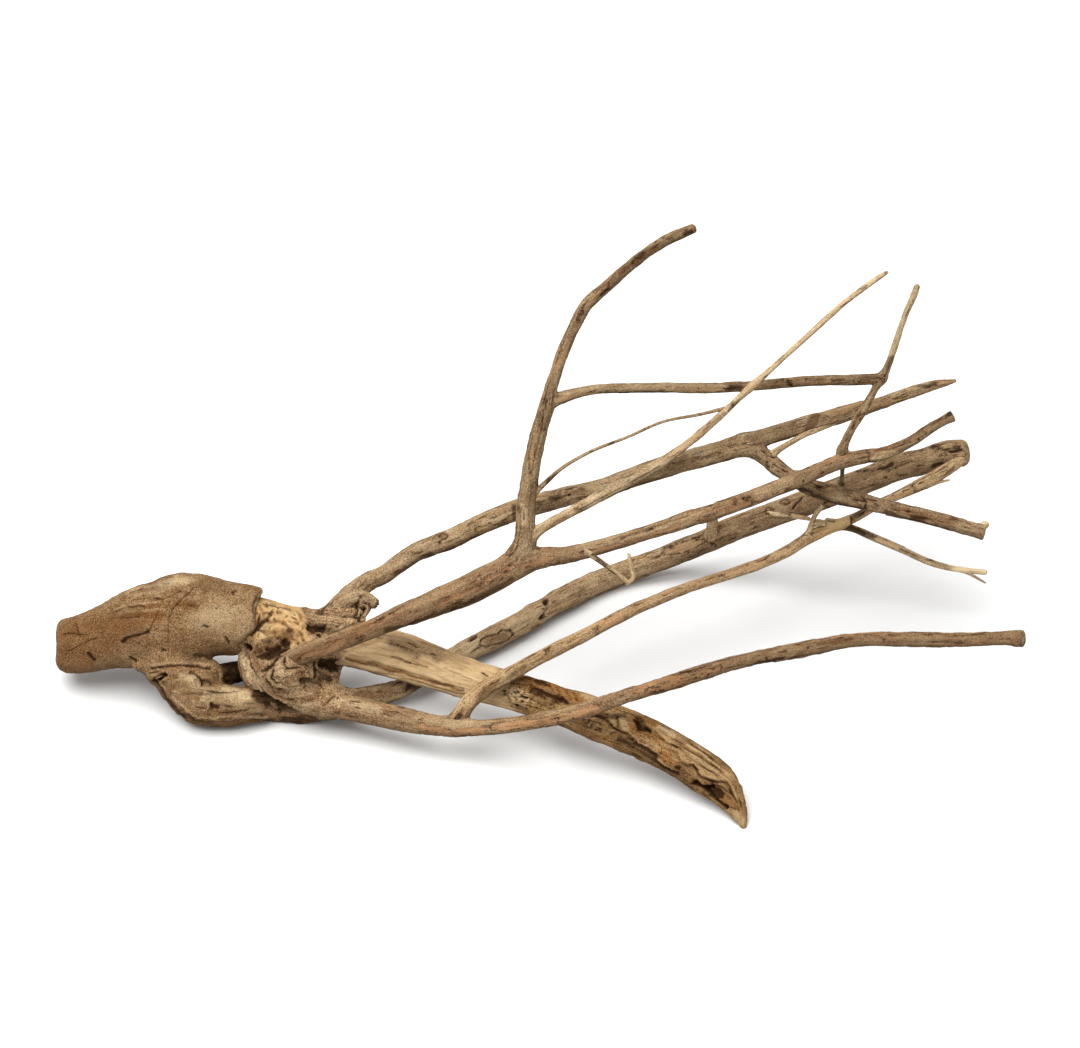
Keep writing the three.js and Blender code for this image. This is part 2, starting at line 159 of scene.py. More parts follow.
class Field:
    """Distances from a surface, on a grid in the chart, negative inside the wood."""

    # Distances are worked out to MARGIN past a limb, and beyond that are set to FAR.
    MARGIN = 8
    FAR = 50
    STATION_SPACING = 4

    def __init__(self, low, high, step):
        self.low = np.array(low, float)
        self.step = step
        self.shape = tuple(np.ceil((np.array(high) - self.low) / step).astype(int) + 1)

    def axes(self, first, last):
        lines = [self.low[k] + self.step * np.arange(first[k], last[k]) for k in range(3)]
        return np.meshgrid(*[line.astype(np.float32) for line in lines], indexing="ij", sparse=True)

    def box(self, low, high):
        first = np.clip(np.floor((low - self.MARGIN - self.low) / self.step).astype(int), 0, self.shape)
        last = np.clip(np.ceil((high + self.MARGIN - self.low) / self.step).astype(int), 0, self.shape)
        return first, last

    def limb(self, route, slim=1.0):
        """The field of a limb that follows a route."""
        depth = np.full(self.shape, self.FAR, np.float32)
        stations = smooth_route(route, self.STATION_SPACING)
        stations[:, 3:] *= slim
        for a, b in zip(stations[:-1], stations[1:]):
            wide = max(a[3:].max(), b[3:].max())
            first, last = self.box(np.minimum(a, b)[:3] - wide, np.maximum(a, b)[:3] + wide)
            if (last <= first).any():
                continue
            u, v, d = self.axes(first, last)
            run = (b - a)[:3]
            share = ((u - a[0]) * run[0] + (v - a[1]) * run[1] + (d - a[2]) * run[2]) / (run @ run)
            share = np.clip(share, 0, 1)
            width = a[3] + (b[3] - a[3]) * share
            flatness = width / (a[4] + (b[4] - a[4]) * share)
            off_u = u - a[0] - share * run[0]
            off_v = v - a[1] - share * run[1]
            off_d = (d - a[2] - share * run[2]) * flatness
            gap = np.sqrt(off_u**2 + off_v**2 + off_d**2) - width
            part = depth[first[0]:last[0], first[1]:last[1], first[2]:last[2]]
            np.minimum(part, gap, out=part)
        return depth

    def swelling(self, centre, radii):
        """The field of an ellipsoid."""
        u, v, d = self.axes((0, 0, 0), self.shape)
        far = ((u - centre[0]) / radii[0]) ** 2 + ((v - centre[1]) / radii[1]) ** 2
        far = far + ((d - centre[2]) / radii[2]) ** 2
        return ((np.sqrt(far) - 1) * min(radii)).astype(np.float32)

    def skin(self, depth):
        """The surface where a field is zero: points in the chart, and four-sided faces."""
        inside = depth < 0
        corners = list(itertools.product((0, 1), repeat=3))
        shape = np.array(depth.shape) - 1
        window = [slice(None, -1), slice(1, None)]
        count = sum(inside[tuple(window[k] for k in corner)].astype(np.int8) for corner in corners)
        active = (count > 0) & (count < 8)
        number = np.full(tuple(shape), -1)
        number[active] = np.arange(active.sum())
        cells = np.argwhere(active)
        values = {corner: depth[tuple((cells + corner).T)] for corner in corners}
        total = np.zeros((len(cells), 3))
        hits = np.zeros(len(cells))
        for a, b in itertools.combinations(corners, 2):
            if np.abs(np.subtract(a, b)).sum() != 1:
                continue
            crosses = (values[a] < 0) != (values[b] < 0)
            share = np.where(crosses, values[a] / np.where(crosses, values[a] - values[b], 1), 0)
            total += crosses[:, None] * (np.array(a) + share[:, None] * np.subtract(b, a))
            hits += crosses
        points = self.low + self.step * (cells + total / hits[:, None])
        faces = []
        for axis in range(3):
            second, third = (axis + 1) % 3, (axis + 2) % 3
            ahead = np.moveaxis(inside, axis, 0)
            edges = np.argwhere(ahead[:-1] != ahead[1:])
            order = np.argsort([axis] + [k for k in range(3) if k != axis])
            edges = edges[:, order]
            edges = edges[(edges[:, second] > 0) & (edges[:, third] > 0)]
            edges = edges[(edges[:, second] < shape[second]) & (edges[:, third] < shape[third])]
            back, down = np.eye(3, dtype=int)[second], np.eye(3, dtype=int)[third]
            around = (0 * back, back, back + down, down)
            quad = np.stack([number[tuple((edges - offset).T)] for offset in around], axis=1)
            solid = inside[tuple(edges.T)]
            faces.append(np.where(solid[:, None], quad, quad[:, ::-1]))
        return points, np.concatenate(faces)

    def slopes(self, depth, points):
        """Outward directions at points on a field's surface."""
        at = np.clip(np.rint((points - self.low) / self.step).astype(int), 2, np.array(self.shape) - 3)
        steps = 2 * np.eye(3, dtype=int)
        rise = [depth[tuple((at + s).T)] - depth[tuple((at - s).T)] for s in steps]
        rise = np.stack(rise, axis=1).astype(float)
        return rise / np.maximum(np.linalg.norm(rise, axis=1), 1e-6)[:, None]


def fillet(a, b, reach):
    """Two fields joined, with a fillet where both are within reach."""
    share = np.clip(0.5 + 0.5 * (b - a) / reach, 0, 1)
    return b + (a - b) * share - reach * share * (1 - share)


def line_gap(places, line):
    """How far places in the chart's plane are from a line of points."""
    line = np.array(line, float).reshape(-1, 2)
    gap = np.linalg.norm(places - line[0], axis=1)
    for start, end in zip(line[:-1], line[1:]):
        run = end - start
        share = np.clip((places - start) @ run / (run @ run), 0, 1)
        gap = np.minimum(gap, np.linalg.norm(places - start - share[:, None] * run, axis=1))
    return gap


# What each kind of mark does where it is strongest: its height in millimetres, then how far it
# darkens, reddens, pales and peels the bark. A mark itself is a row: its half width, then u and v of
# each point of the line that it follows.
# The darkening of the sinking kinds (crack, pit, hollow, void, groove) is painted shade in their dents. A
# shade mark is painted shade under limbs' edges, in holes and where one limb shadows another, and also
# marks some dark spots.
MARKS = {
    "crack": (-0.8, 0.8, 0.3, 0, 0), "scratch": (-0.3, 0.45, 0.4, 0, 0), "pit": (-0.9, 0.8, 0.2, 0, 0),
    "hollow": (-2.4, 0.15, 0.3, 0, 0), "rot": (-1.6, 0.2, 0.8, 0, 0), "void": (-3.5, 0.5, 0.5, 0, 0),
    "ridge": (0.8, 0, 0, 0.2, 0), "lip": (0.6, 0, 0, 0.45, 0), "plate": (0.5, 0, 0, 0.2, 0),
    "dark": (0, 0.5, 0, 0, 0), "rust": (0, 0, 0.6, 0, 0), "pale": (0, 0, 0, 0.5, 0),
    "groove": (-0.7, 0.25, 0.2, 0, 0), "peel": (0, 0, 0, 0, 1.2), "keep": (0, 0, 0, 0, -1.5),
    "line": (-0.15, 0.6, 0.3, 0, 0), "fibre": (0.35, 0, 0, 0.3, 0), "dull": (0, 0.27, 0.1, 0, 0),
    "brown": (-0.15, 0.2, 0.7, 0, 0), "spot_and_shade": (0, 0.8, 0, 0, 0), "ring": (-0.3, 0.75, 0.5, 0, 0),
    "fade": (0, 0, 0, 0.25, 0),
}


def oval(u, v, half_length, half_height):
    """The points of a closed oval line in the chart's plane."""
    turn = np.linspace(0, 2 * math.pi, 13)
    return zip(u + half_length * np.cos(turn), v + half_height * np.sin(turn))


def marked(chart, facing, marks):
    """Height, darkness, redness, paleness and peeling that marks, listed by their kinds, give to a
    surface in the chart. Noise sways the marks' lines."""
    wide = np.column_stack([noise(chart / 4 + shift) for shift in (0, 40)])
    fine = np.column_stack([noise(chart / 1.6 + shift) for shift in (10, 60)])
    result = np.zeros((len(chart), 5))
    for kind, rows in marks.items():
        for half_width, *line in rows:
            places = chart[:, :2] + min(1.2, 0.8 * half_width) * wide + min(0.7, 0.4 * half_width) * fine
            near = ease(1, 0.3, line_gap(places, line) / half_width) * facing
            result += near[:, None] * np.array(MARKS[kind])
    return result


class Wire:
    """A shader socket that arithmetic adds Math nodes to."""

    def __init__(self, tree, socket=None):
        self.tree = tree
        self.socket = socket

    def node(self, kind, settings=None, values=None, output=0):
        """A node of a kind, with its settings and then its sockets' values or links."""
        made = self.tree.nodes.new("ShaderNode" + kind)
        for name, setting in (settings or {}).items():
            setattr(made, name, setting)
        for name, value in (values or {}).items():
            if isinstance(value, Wire):
                self.tree.links.new(value.socket, made.inputs[name])
            else:
                made.inputs[name].default_value = value
        return Wire(self.tree, made.outputs[output])

    def math(self, operation, first, second=0):
        return self.node("Math", {"operation": operation}, {0: first, 1: second})

    def __add__(self, other):
        return self.math("ADD", self, other)

    def __radd__(self, other):
        return self.math("ADD", other, self)

    def __sub__(self, other):
        return self.math("SUBTRACT", self, other)

    def __rsub__(self, other):
        return self.math("SUBTRACT", other, self)

    def __mul__(self, other):
        return self.math("MULTIPLY", self, other)

    def __rmul__(self, other):
        return self.math("MULTIPLY", other, self)

    def between(self, low, high):
        """0 where this is below low, 1 where it is above high."""
        values = {"Value": self, "From Min": low, "From Max": high}
        return self.node("MapRange", {"interpolation_type": "SMOOTHSTEP"}, values)

    def mix(self, first, second):
        """first where this is 0 and second where it is 1, both colours."""
        settings = {"data_type": "RGBA", "clamp_factor": True}
        return self.node("Mix", settings, {0: self, 6: first, 7: second}, 2)


def paint(code):
    """A colour written in hexadecimal, in the linear numbers that a shader takes."""
    parts = [int(code[k:k + 2], 16) / 255 for k in (0, 2, 4)]
    return (*[p / 12.92 if p <= 0.04045 else ((p + 0.055) / 1.055) ** 2.4 for p in parts], 1)


# What all finishes share: tones of the bark, the colour of dark marks and of painted shade in dents, the
# colour of painted shade on undersides, tones of bare wood, depths of shade, gloss and bump, and how far
# apart pinholes may lie.
RUBBED, GRIME, CHIP, SHADE_AND_DARK_MARK_COLOUR, UNDERSIDE_SHADE_COLOUR = map(paint, ("cdb48c", "452f1c", "4a301c", "29180b", "2c1f11"))
WOOD_LINE, WOOD_RING, WOOD_LIGHT, WOOD_RUBBED = map(paint, ("9c7a50", "80603a", "e6cf9e", "dcc49a"))
DEEPEST_SHADE = 0.93
DULL_GLOSS = 0.06
BUMP_STRENGTH = 0.8
BUMP_HEIGHT = 0.0004
PINHOLE_SPACING = 1.6


def weathered(
    name, bark, streak, fleck_and_highlight, inner="a98560", wood="cfac78", stain="744a28", speckle=0.6, chips=0.85,
):
    """Weathered root wood. Bark in two tones has streaks along the grain, flecks, dark chips, pits and
    stained patches. Where it has peeled, smooth inner bark shows with a dark rim. Where the bark is gone,
    bare wood shows. Raised grain gets a painted highlight, and dents and undersides get painted shade."""
    streak, fleck_and_highlight, inner, wood, stain = map(paint, (streak, fleck_and_highlight, inner, wood, stain))
    material = bpy.data.materials.new(name)
    material.use_nodes = True
    shader = material.node_tree.nodes["Principled BSDF"]
    start = Wire(material.node_tree)

    def layer(attribute, output):
        return start.node("Attribute", {"attribute_name": attribute}, output=output)

    grain, spot, stains_and_shade = (layer(attribute, 1) for attribute in ("grain", "spot", "stains_and_shade"))
    relief, bare, peel, painted_underside_shade = (layer(attribute, 2) for attribute in ("relief", "bare", "peel", "painted_underside_shade"))
    dark, rust, pale = (start.node("SeparateXYZ", values={0: stains_and_shade}, output=k) for k in range(3))

    def texture(vector, size, detail, rough=0.55):
        """Noise with lumps of a size in millimetres."""
        values = {"Vector": vector, "Scale": 1 / size, "Detail": detail, "Roughness": rough}
        return start.node("TexNoise", values=values)

    mottle = texture(spot, 11, 3)
    fibre = texture(grain, 1.3, 3, 0.65)
    coarse = texture(grain, 4, 2)
    grit = texture(spot, 0.85, 2, 0.6)
    dust = texture(spot, 0.5, 1)
    sparse = texture(spot, 6, 1)
    specks = start.node("TexVoronoi", values={"Vector": spot, "Scale": 1 / PINHOLE_SPACING})
    ragged = peel + 1.1 * (texture(grain, 1.3, 3, 0.7) - 0.5) + 0.5 * (texture(spot, 1.1, 1) - 0.5)
    peeled = ragged.between(0, 0.06)
    rim = start.math("ABSOLUTE", ragged - 0.01).between(0.12, 0.02) * sparse.between(0.4, 0.52)
    chip = texture(grain, 1.5, 3, 0.7).between(0.57, 0.62) * sparse.between(0.4, 0.5)

    colour = mottle.between(0.36, 0.64).mix(*map(paint, bark))
    colour = (coarse.between(0.5, 0.7) * 0.5).mix(colour, streak)
    colour = (fibre.between(0.52, 0.68) * 0.5).mix(colour, streak)
    colour = (fibre.between(0.46, 0.3) * 0.4).mix(colour, fleck_and_highlight)
    colour = (grit.between(0.54, 0.68) * speckle * 0.7).mix(colour, fleck_and_highlight)
    colour = (grit.between(0.48, 0.34) * speckle).mix(colour, streak)
    colour = (pale * (0.35 + 0.9 * grit)).mix(colour, RUBBED)
    colour = (rust * (0.3 + 0.9 * coarse)).mix(colour, stain)
    skin = (0.4 * fibre.between(0.45, 0.65)).mix(inner, streak)
    skin = (0.35 * grit.between(0.55, 0.7)).mix(skin, fleck_and_highlight)
    colour = (peeled * 0.62).mix(colour, skin)
    colour = (dust.between(0.56, 0.68) * speckle * 0.6).mix(colour, fleck_and_highlight)
    colour = (dust.between(0.45, 0.35) * speckle * (0.75 - 0.4 * peeled)).mix(colour, GRIME)
    colour = (chip * (1 - peeled * 0.6) * chips).mix(colour, CHIP)
    pale_wood = (fibre.between(0.42, 0.66) * 0.65).mix(wood, WOOD_LINE)
    pale_wood = (coarse.between(0.52, 0.72) * 0.35).mix(pale_wood, WOOD_RING)
    pale_wood = (grit.between(0.56, 0.72) * 0.45).mix(pale_wood, WOOD_LIGHT)
    pale_wood = (rust * 0.8).mix(pale_wood, stain)
    pale_wood = (pale * (0.2 + 0.6 * grit)).mix(pale_wood, WOOD_RUBBED)
    colour = bare.mix(colour, pale_wood)
    # Raised grain is lightened towards the fleck tone as a painted highlight. Dents and cracks are darkened
    # as painted shade, along with the dark marks, pinholes and the peel's dark rim.
    colour = (relief.between(0.15, 1) * 0.3).mix(colour, fleck_and_highlight)
    pinholes = specks.between(0.22, 0.1) * sparse.between(0.5, 0.6)
    dark_marks_and_shade = dark + relief.between(-0.05, -0.9) * (0.75 - 0.3 * bare) + 0.6 * pinholes
    patchy = 0.6 + 0.45 * start.math("MAXIMUM", grit, coarse).between(0.4, 0.62)
    dark_marks_and_shade = (dark_marks_and_shade + 0.75 * rim * (1 - bare)) * patchy
    colour = start.math("MINIMUM", dark_marks_and_shade, DEEPEST_SHADE).mix(colour, SHADE_AND_DARK_MARK_COLOUR)
    # Undersides get painted shade.
    colour = (painted_underside_shade * 0.62).mix(colour, UNDERSIDE_SHADE_COLOUR)
    bump = fibre * 0.55 + grit * 0.6 + coarse * 0.3 - pinholes * 0.8 - rim * 0.7 - peeled * 0.3
    values = {"Strength": BUMP_STRENGTH, "Distance": BUMP_HEIGHT, "Height": bump}
    normal = start.node("Bump", values=values)
    roughness = 0.74 + 0.2 * grit
    for socket, wire in (("Base Color", colour), ("Roughness", roughness), ("Normal", normal)):
        material.node_tree.links.new(wire.socket, shader.inputs[socket])
    shader.inputs["Specular IOR Level"].default_value = DULL_GLOSS
    return material


class Piece:
    """A piece of wood: its points in the chart, their outward directions, its faces and finish."""

    def __init__(self, name, chart, outward, faces, grain, material, marks, bare=0.0):
        self.name = name
        self.chart = chart
        self.outward = outward
        self.faces = faces
        self.grain = grain
        facing = ease(0.05, 0.4, outward[:, 2])
        self.marks = marked(chart, facing, marks or {})
        self.peel = self.marks[:, 4] - 1
        self.bare = np.zeros(len(chart)) + bare
        self.material = material

    def raise_by(self, height):
        self.chart = self.chart + height[:, None] * self.outward

    def finish(self):
        points = place(self.chart)
        points[:, 2] = np.maximum(points[:, 2], 0)
        mesh = bpy.data.meshes.new(self.name)
        mesh.from_pydata(points.tolist(), [], self.faces)
        mesh.shade_smooth()
        # Undersides, which face away from the sky, are darkened in the colour as painted shade.
        skyward = self.outward[:, 1] * math.cos(EYE_ELEVATION)
        skyward = skyward + self.outward[:, 2] * math.sin(EYE_ELEVATION)
        painted_underside_shade = ease(0.25, -0.75, skyward + 0.15 * noise(self.chart / 5))
        layers = {
            "grain": self.grain, "spot": self.chart, "stains_and_shade": np.clip(self.marks[:, 1:4], 0, 1),
            "relief": self.relief, "bare": self.bare, "peel": self.peel, "painted_underside_shade": painted_underside_shade,
        }
        for name, numbers in layers.items():
            kind, field = ("FLOAT_VECTOR", "vector") if numbers.ndim == 2 else ("FLOAT", "value")
            layer = mesh.attributes.new(name, kind, "POINT")
            layer.data.foreach_set(field, numbers.astype(np.float32).ravel())
        mesh.materials.append(self.material)
        wood = bpy.data.objects.new(self.name, mesh)
        bpy.context.collection.objects.link(wood)
        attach(wood, "root")
        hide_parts("spiderwood_root")


trunk_field = Field(*TRUNK_BOX, TRUNK_STEP)
trunk_depth = trunk_field.limb(TRUNK)
u, v, d = trunk_field.axes((0, 0, 0), trunk_field.shape)
edge_v = np.array(TORN_EDGE)[::-1, 1]
edge_u = np.interp(v.ravel(), edge_v, np.array(TORN_EDGE)[::-1, 0]).reshape(v.shape)
ragged = edge_u + 0.5 * np.sin(v * 0.8 + d * 0.35) + 2.2 * np.sin(d * 0.16 + 1)
trunk_depth = -fillet(-trunk_depth, -(u - ragged).astype(np.float32), TORN_ROUNDING)
trunk_depth = -fillet(-trunk_depth, -(CUT_END - u).astype(np.float32), CUT_ROUNDING)
loop_depth = trunk_field.limb(UNDER_ROOT)
for row in LOOP_SWELLINGS:
    loop_depth = fillet(loop_depth, trunk_field.swelling(row[:3], row[3:]), SWELLING_FILLET)
trunk_depth = fillet(trunk_depth, loop_depth, LOOP_FILLET)
trunk_depth = fillet(trunk_depth, trunk_field.limb(INNER_ROOT), INNER_FILLET)
chart, faces = trunk_field.skin(trunk_depth)
outward = trunk_field.slopes(trunk_depth, chart)

# The stub's shade marks paint shade in the hole behind the loop and along the stub's lower edge. The pale
# lines along its crest are partly paler bark and partly a painted highlight.
TRUNK_MARKS = dict(
    crack=[(0.8, -195, -72.4, -188, -71.3, -180, -70.6, -172, -70.9, -165, -72.5),
        (0.9, -175, -74, -171, -76.4, -169, -78, -169.2, -80.4), (0.9, -209, -59, -206, -56.8, -201, -55.4,
        -195.8, -54.4), (1, -226, -64.6, -222.8, -68), (0.9, -205, -66.4, -202.4, -68.7),
        (0.8, -157.4, -56.3, -155.6, -59.4), (0.7, -194, -77.5, -189, -75), (0.7, -196, -79.5, -191, -78),
        (0.6, -195.4, -74.6, -191, -74.2)],
    fibre=[(0.9, -195, -70.9, -188, -69.8, -180, -69.1, -172, -69.3, -166, -70.4),
        (0.7, -160.2, -72.4, -159.6, -78.6), (0.8, -206, -36.5, -196, -34.8, -188, -34),
        (0.8, -212, -43, -203, -40.2, -192, -39.2), (0.7, -199, -43.2, -188, -43),
        (0.6, -195, -31.8, -187, -30.3)],
    spot_and_shade=[(1.6, -170, -78.5, -165, -79.5), (5, -153.6, -73, -149, -76), (5, -153, -74, -148, -76),
        (3.4, -156.4, -76.4, -150, -77.4), (1.2, -172.6, -65.8, -168, -66.2, -163.4, -67),
        (2.5, -158, -70, -150, -68), (2.2, -189.5, -84, -184.5, -90, -178.5, -96),
        (3.5, -143, -85.5, -137, -89, -130, -92), (3, -128, -98, -112, -98)],
    line=[(0.4, -161.6, -73, -160.6, -76, -161, -78.6), (0.6, -196.6, -55, -194, -50.5, -190.8, -43.5),
        (0.7, -185, -46, -183.7, -42.5, -179.5, -38, -173.5, -32.5), (0.6, -139.6, -33.2, -142, -36.6,
        -143.4, -40.5, -143.6, -44), (0.5, -236, -63.5, -229, -60, -222, -57), (0.5, -232, -50, -230, -56),
        (0.5, -238, -55, -233, -54.5, -227, -55), (0.5, -214, -44.5, -206, -41.5, -198, -41),
        (0.5, -203, -38, -195, -36.8, -188, -37.5), (0.5, -186, -36.6, -180, -33.8),
        (0.5, -205, -34.3, -199, -32.6), (0.5, -210, -47.3, -200, -46.2),
        (0.9, -178, -94, -172, -98, -164, -99.6), (0.7, -166, -98.8, -158, -98.6, -147, -97.4, -134, -98),
        (0.5, -176, -82, -160, -84.5, -150, -84), (0.5, -172, -91.5, -158, -94.5, -146, -92.5)],
    dull=[(3, -166, -73, -163, -79), (17, -242, -60, -222, -57, -206, -52), (6, -196, -31, -188, -30),
        (5, -172, -30, -158, -32), (5, -155, -94, -140, -93), (4, -184, -82, -178, -80)],
    brown=[(1.4, -208.4, -58.2, -200, -55.4), (1.2, -216, -48, -206, -45.5, -197, -44.6),
        (1.3, -205, -42, -194, -40.4, -184, -41), (1.6, -197, -47, -188, -45.5),
        (3, -181, -39.5, -172, -41.5), (1.5, -182, -33, -174, -36), (2.5, -178, -84, -170, -85),
        (2, -176, -87, -171, -87.5), (3, -190, -84, -181, -94.5, -172, -99.5, -163, -101.5, -152, -100.5,
        -142, -99.5)],
    scratch=[(0.5, -186, -60, -185.8, -50, -185.4, -46)],
    lip=[(0.8, -139, -33.6, -141, -37, -142.2, -41.5), (0.7, -184, -86, -178, -91.8, -171.5, -96),
        (0.6, -171, -96.5, -163, -97.2, -155, -95.8, -145, -96, -136, -96.4)],
    pit=[(1, -153.6, -33.6, -152, -33.4), (0.7, -153.4, -34.8), (1, -167.6, -50.6, -166.5, -51.2),
        (0.6, -161.7, -42.3), (0.7, -189, -62.8, -187, -63.3), (0.5, -172, -58), (0.5, -196, -60),
        (0.9, -164.5, -90)],
    rust=[(7, -240, -70, -226, -71), (13, -236, -58, -216, -55), (6, -208, -51, -193, -47)],
    pale=[(2.3, -190, -30, -181, -27.5, -172, -27.8), (2, -206, -34.5, -197, -31),
        (2.2, -185, -30, -177, -29.2), (3.5, -157, -83, -146, -86), (2.4, -152, -84.6, -148, -86),
        (2, -180, -76, -174, -77)],
    fade=[(14, -162, -46, -152, -50), (8, -172, -48, -158, -46), (4, -194, -33, -186, -31),
        (4, -178, -77, -172, -78), (8, -178, -86, -164, -87, -150, -86),
        (5, -172, -84, -152, -86, -142, -92)],
    void=[(1.3, -193.5, -79, -190, -82), (0.9, -191, -78.2, -187.6, -75.4)],
    plate=[(2.2, -196, -75.5, -190, -76.5)], rot=[(1.8, -164, -91.5, -161, -91.8)],
)
swirl = 5 * np.column_stack([noise(chart / 30 + shift) for shift in (0, 30, 60)])
grain = (chart + swirl) * np.array([0.16, 1, 1])
smooth_bark = weathered(
    "smooth_bark", ("8d7050", "7b5a3a"), "55391e", "ac8f69", stain="764820", speckle=0.95, chips=0.2,
)
trunk = Piece("trunk_and_loop", chart, outward, faces, grain, smooth_bark, TRUNK_MARKS)
loop_share = ease(-70, -76, chart[:, 1]) * ease(-196, -186, chart[:, 0])
wrinkled = ease(-48, -38, chart[:, 1]) * ease(-165, -180, chart[:, 0])
rough = 0.35 + 0.7 * wrinkled + 0.75 * loop_share
fibres = 0.42 * noise(grain / 2.1) + 0.2 * noise(grain / 1.1)
lumps = 0.7 * noise(chart / 16) + 0.35 * noise(chart / 7)
plates = loop_share * 0.45 * ease(-0.05, 0.1, noise(grain / 3.4 + 9))
trunk.relief = np.clip(fibres * rough * 2 + np.minimum(trunk.marks[:, 0], 0) * 0.5, -1, 1)
trunk.raise_by(lumps + fibres * rough + plates + trunk.marks[:, 0])
trunk.finish()


# The knot. Trunk, roots and branches all meet in one gnarled burl. Where the trunk's bark has torn
# away, its yellow heartwood stands bare, pitted and partly rotted. The lower left of the knot keeps
# a smooth grey rim of bark, and thin splinters of wood run out of it to the right.
HEARTWOOD = [
    (-156, -50, 0, 13), (-143, -49.8, 0, 14), (-136, -51.8, 0, 13.6, 15), (-128, -52.5, -1, 12.4, 13),
    (-119, -52, -3, 10), (-108, -52, -6, 7),
]
KNOT_SWELLINGS = [(-125, -68, 1, 26, 25.5, 18), (-128, -73, 14, 12, 10, 9), (-108, -88, 8, 16, 8.5, 10)]
KNOT_FILLETS = (1.5, 5, 5)
SNAG_FOOT = [(-106, -49, -5, 5.5), (-97, -44.5, -4, 4.8), (-91, -44.5, -2, 3.6)]
SPLINTERS = [(-118, -51, 4, 6.5), (-106, -51, 6, 5), (-97, -50, 7, 3.4), (-88.5, -47.6, 8, 1.8)]
# The limbs below leave the knot through its skin. Their own sections are further down.
UPPER_BRANCH = [
    (-112, -52, -7, 7.8), (-104, -47.4, -9, 7), (-97.5, -40, -9, 6.5), (-91, -33.3, -8.5, 5.6),
    (-85, -28.5, -8, 4.8), (-78, -25, -6, 4.6), (-62, -14.2, -3, 4.6), (-45, -7.6, -1, 4.8),
    (-30, -0.4, 0, 5), (-12, 6.9, 1, 5.1), (12, 13.4, 1, 4.9), (30, 17.4, 0, 5.1), (45, 22.8, -1, 4.9),
    (60, 28, -2, 5.3), (78, 32.8, -3, 5.3), (100, 39.3, -5, 5.1), (114, 44, -7, 4.3),
    (135, 50.4, -10, 4.2), (158, 56.8, -14, 3.9), (170, 60.2, -16, 3), (182, 64.5, -18, 3.1),
    (196, 69, -21, 2.6), (207.3, 71.6, -23, 0.9),
]
BACK_BRANCH = [
    (-112, -83, -2, 7), (-96, -87.2, -4, 5.4), (-85, -86.3, -6, 5.4), (-75, -84, -8, 5.1),
    (-67.4, -81, -11, 4.7), (-59.6, -76.2, -15, 4.6), (-51, -71.8, -21, 5), (-39, -64.8, -30, 5.4),
    (-20, -55.2, -43, 6), (-7.5, -48.4, -51, 5.9), (2.5, -42.3, -58, 5.6), (13, -36.7, -65, 5.9),
    (30, -28.8, -76.5, 5.9), (50, -21.3, -82, 5.7), (70, -13.8, -80, 5.8), (83, -8.4, -76, 5.8),
    (100, -1.2, -70, 6.1), (118, 5.2, -62, 6.2), (133, 10.6, -56, 6.3), (150, 17, -48, 6.5),
    (165, 22.6, -42, 6.5), (180, 28.3, -37, 6.6), (193, 31.8, -33, 6.5), (205, 35, -30, 6.8),
    (211, 35.6, -29, 6.6),
]
LOW_BRANCH = [
    (-122, -82, 6, 8.5), (-109, -88, 10, 7.4), (-98, -91.3, 13, 6.6), (-90, -93, 15, 6.4),
    (-80, -95.4, 18, 6), (-70, -97.3, 21, 6), (-60, -99.4, 23, 5.6), (-50, -100.8, 26, 4.9),
    (-40, -101.6, 28, 4.3), (-27, -101.7, 32, 3.9), (-12, -100.2, 37, 3.8), (12, -95.8, 45, 4),
    (25, -92.2, 48, 4.1), (38, -87.6, 51, 3.7), (55, -82.4, 54, 3.6), (75, -76.2, 58, 3.9),
    (90, -71.5, 60, 3.6), (101, -68.5, 62, 3.4), (130, -63, 68, 3.9), (148, -59.2, 71, 3.7),
    (162, -57.6, 73, 3.5), (190, -57.8, 77, 3.7), (218, -57.8, 82, 3.5), (233, -57.2, 83.6, 3.7),
    (241, -57.4, 86.2, 4.2),
]
SLAB = [
    (-118, -55, -3, 8.5, 6), (-106, -59, 0, 10.2, 5), (-94, -61, 2, 10.8, 4.6),
    (-70, -66, 6, 11.5, 4.3), (-50, -72.9, 10, 10.6, 4.3), (-35, -77.8, 14, 9.8, 4.4),
    (-20, -81.8, 17, 9.2, 4.8), (-4, -86.4, 21, 9.3, 5.2), (12, -91.4, 25, 9.4, 5.6),
    (30, -98.3, 31, 10.5, 6), (50, -106.3, 37, 10.7, 6.2), (70, -116.6, 43, 10.5, 6.2),
    (83, -124.8, 46, 10, 5.8), (91, -131.4, 48, 9, 5.4), (96.6, -139, 50, 6.3, 4.6),
    (100.2, -146, 52, 3.7, 3.2), (101.8, -151.2, 53, 1.6, 1.8),
]
BARE_HEART = [
    (-142, -29), (-137, -30), (-132.5, -35.4), (-128, -37.6), (-120.6, -40.6), (-118.4, -43.4),
    (-116.7, -48.5), (-114.5, -57.5), (-116.7, -60.7), (-121.2, -62.2), (-124.5, -60.7), (-129.5, -56.2),
    (-145.5, -58.7), (-150.5, -57.5), (-148, -54.9), (-142.2, -52.4), (-144, -47.3), (-144, -42.2),
]
KNOT_BOX = ((-164, -110, -26), (-64, -22, 40))
KNOT_STEP = 0.55
# The stubs in the knot's skin are slimmer than the limbs, whose own bark covers them.
SLIM = 0.88


def within(places, outline, edge):
    """1 inside an outline in the chart's plane and 0 outside it, with a soft edge."""
    outline = np.array(outline, float)
    inside = np.zeros(len(places), bool)
    for (u0, v0), (u1, v1) in zip(outline, np.roll(outline, -1, axis=0)):
        spans = (v0 > places[:, 1]) != (v1 > places[:, 1])
        cross = u0 + (u1 - u0) * (places[:, 1] - v0) / (v1 - v0 if v1 != v0 else 1)
        inside ^= spans & (places[:, 0] < cross)
    gap = line_gap(places, [*outline, outline[0]]) * np.where(inside, 1, -1)
    return ease(-edge, edge, gap)


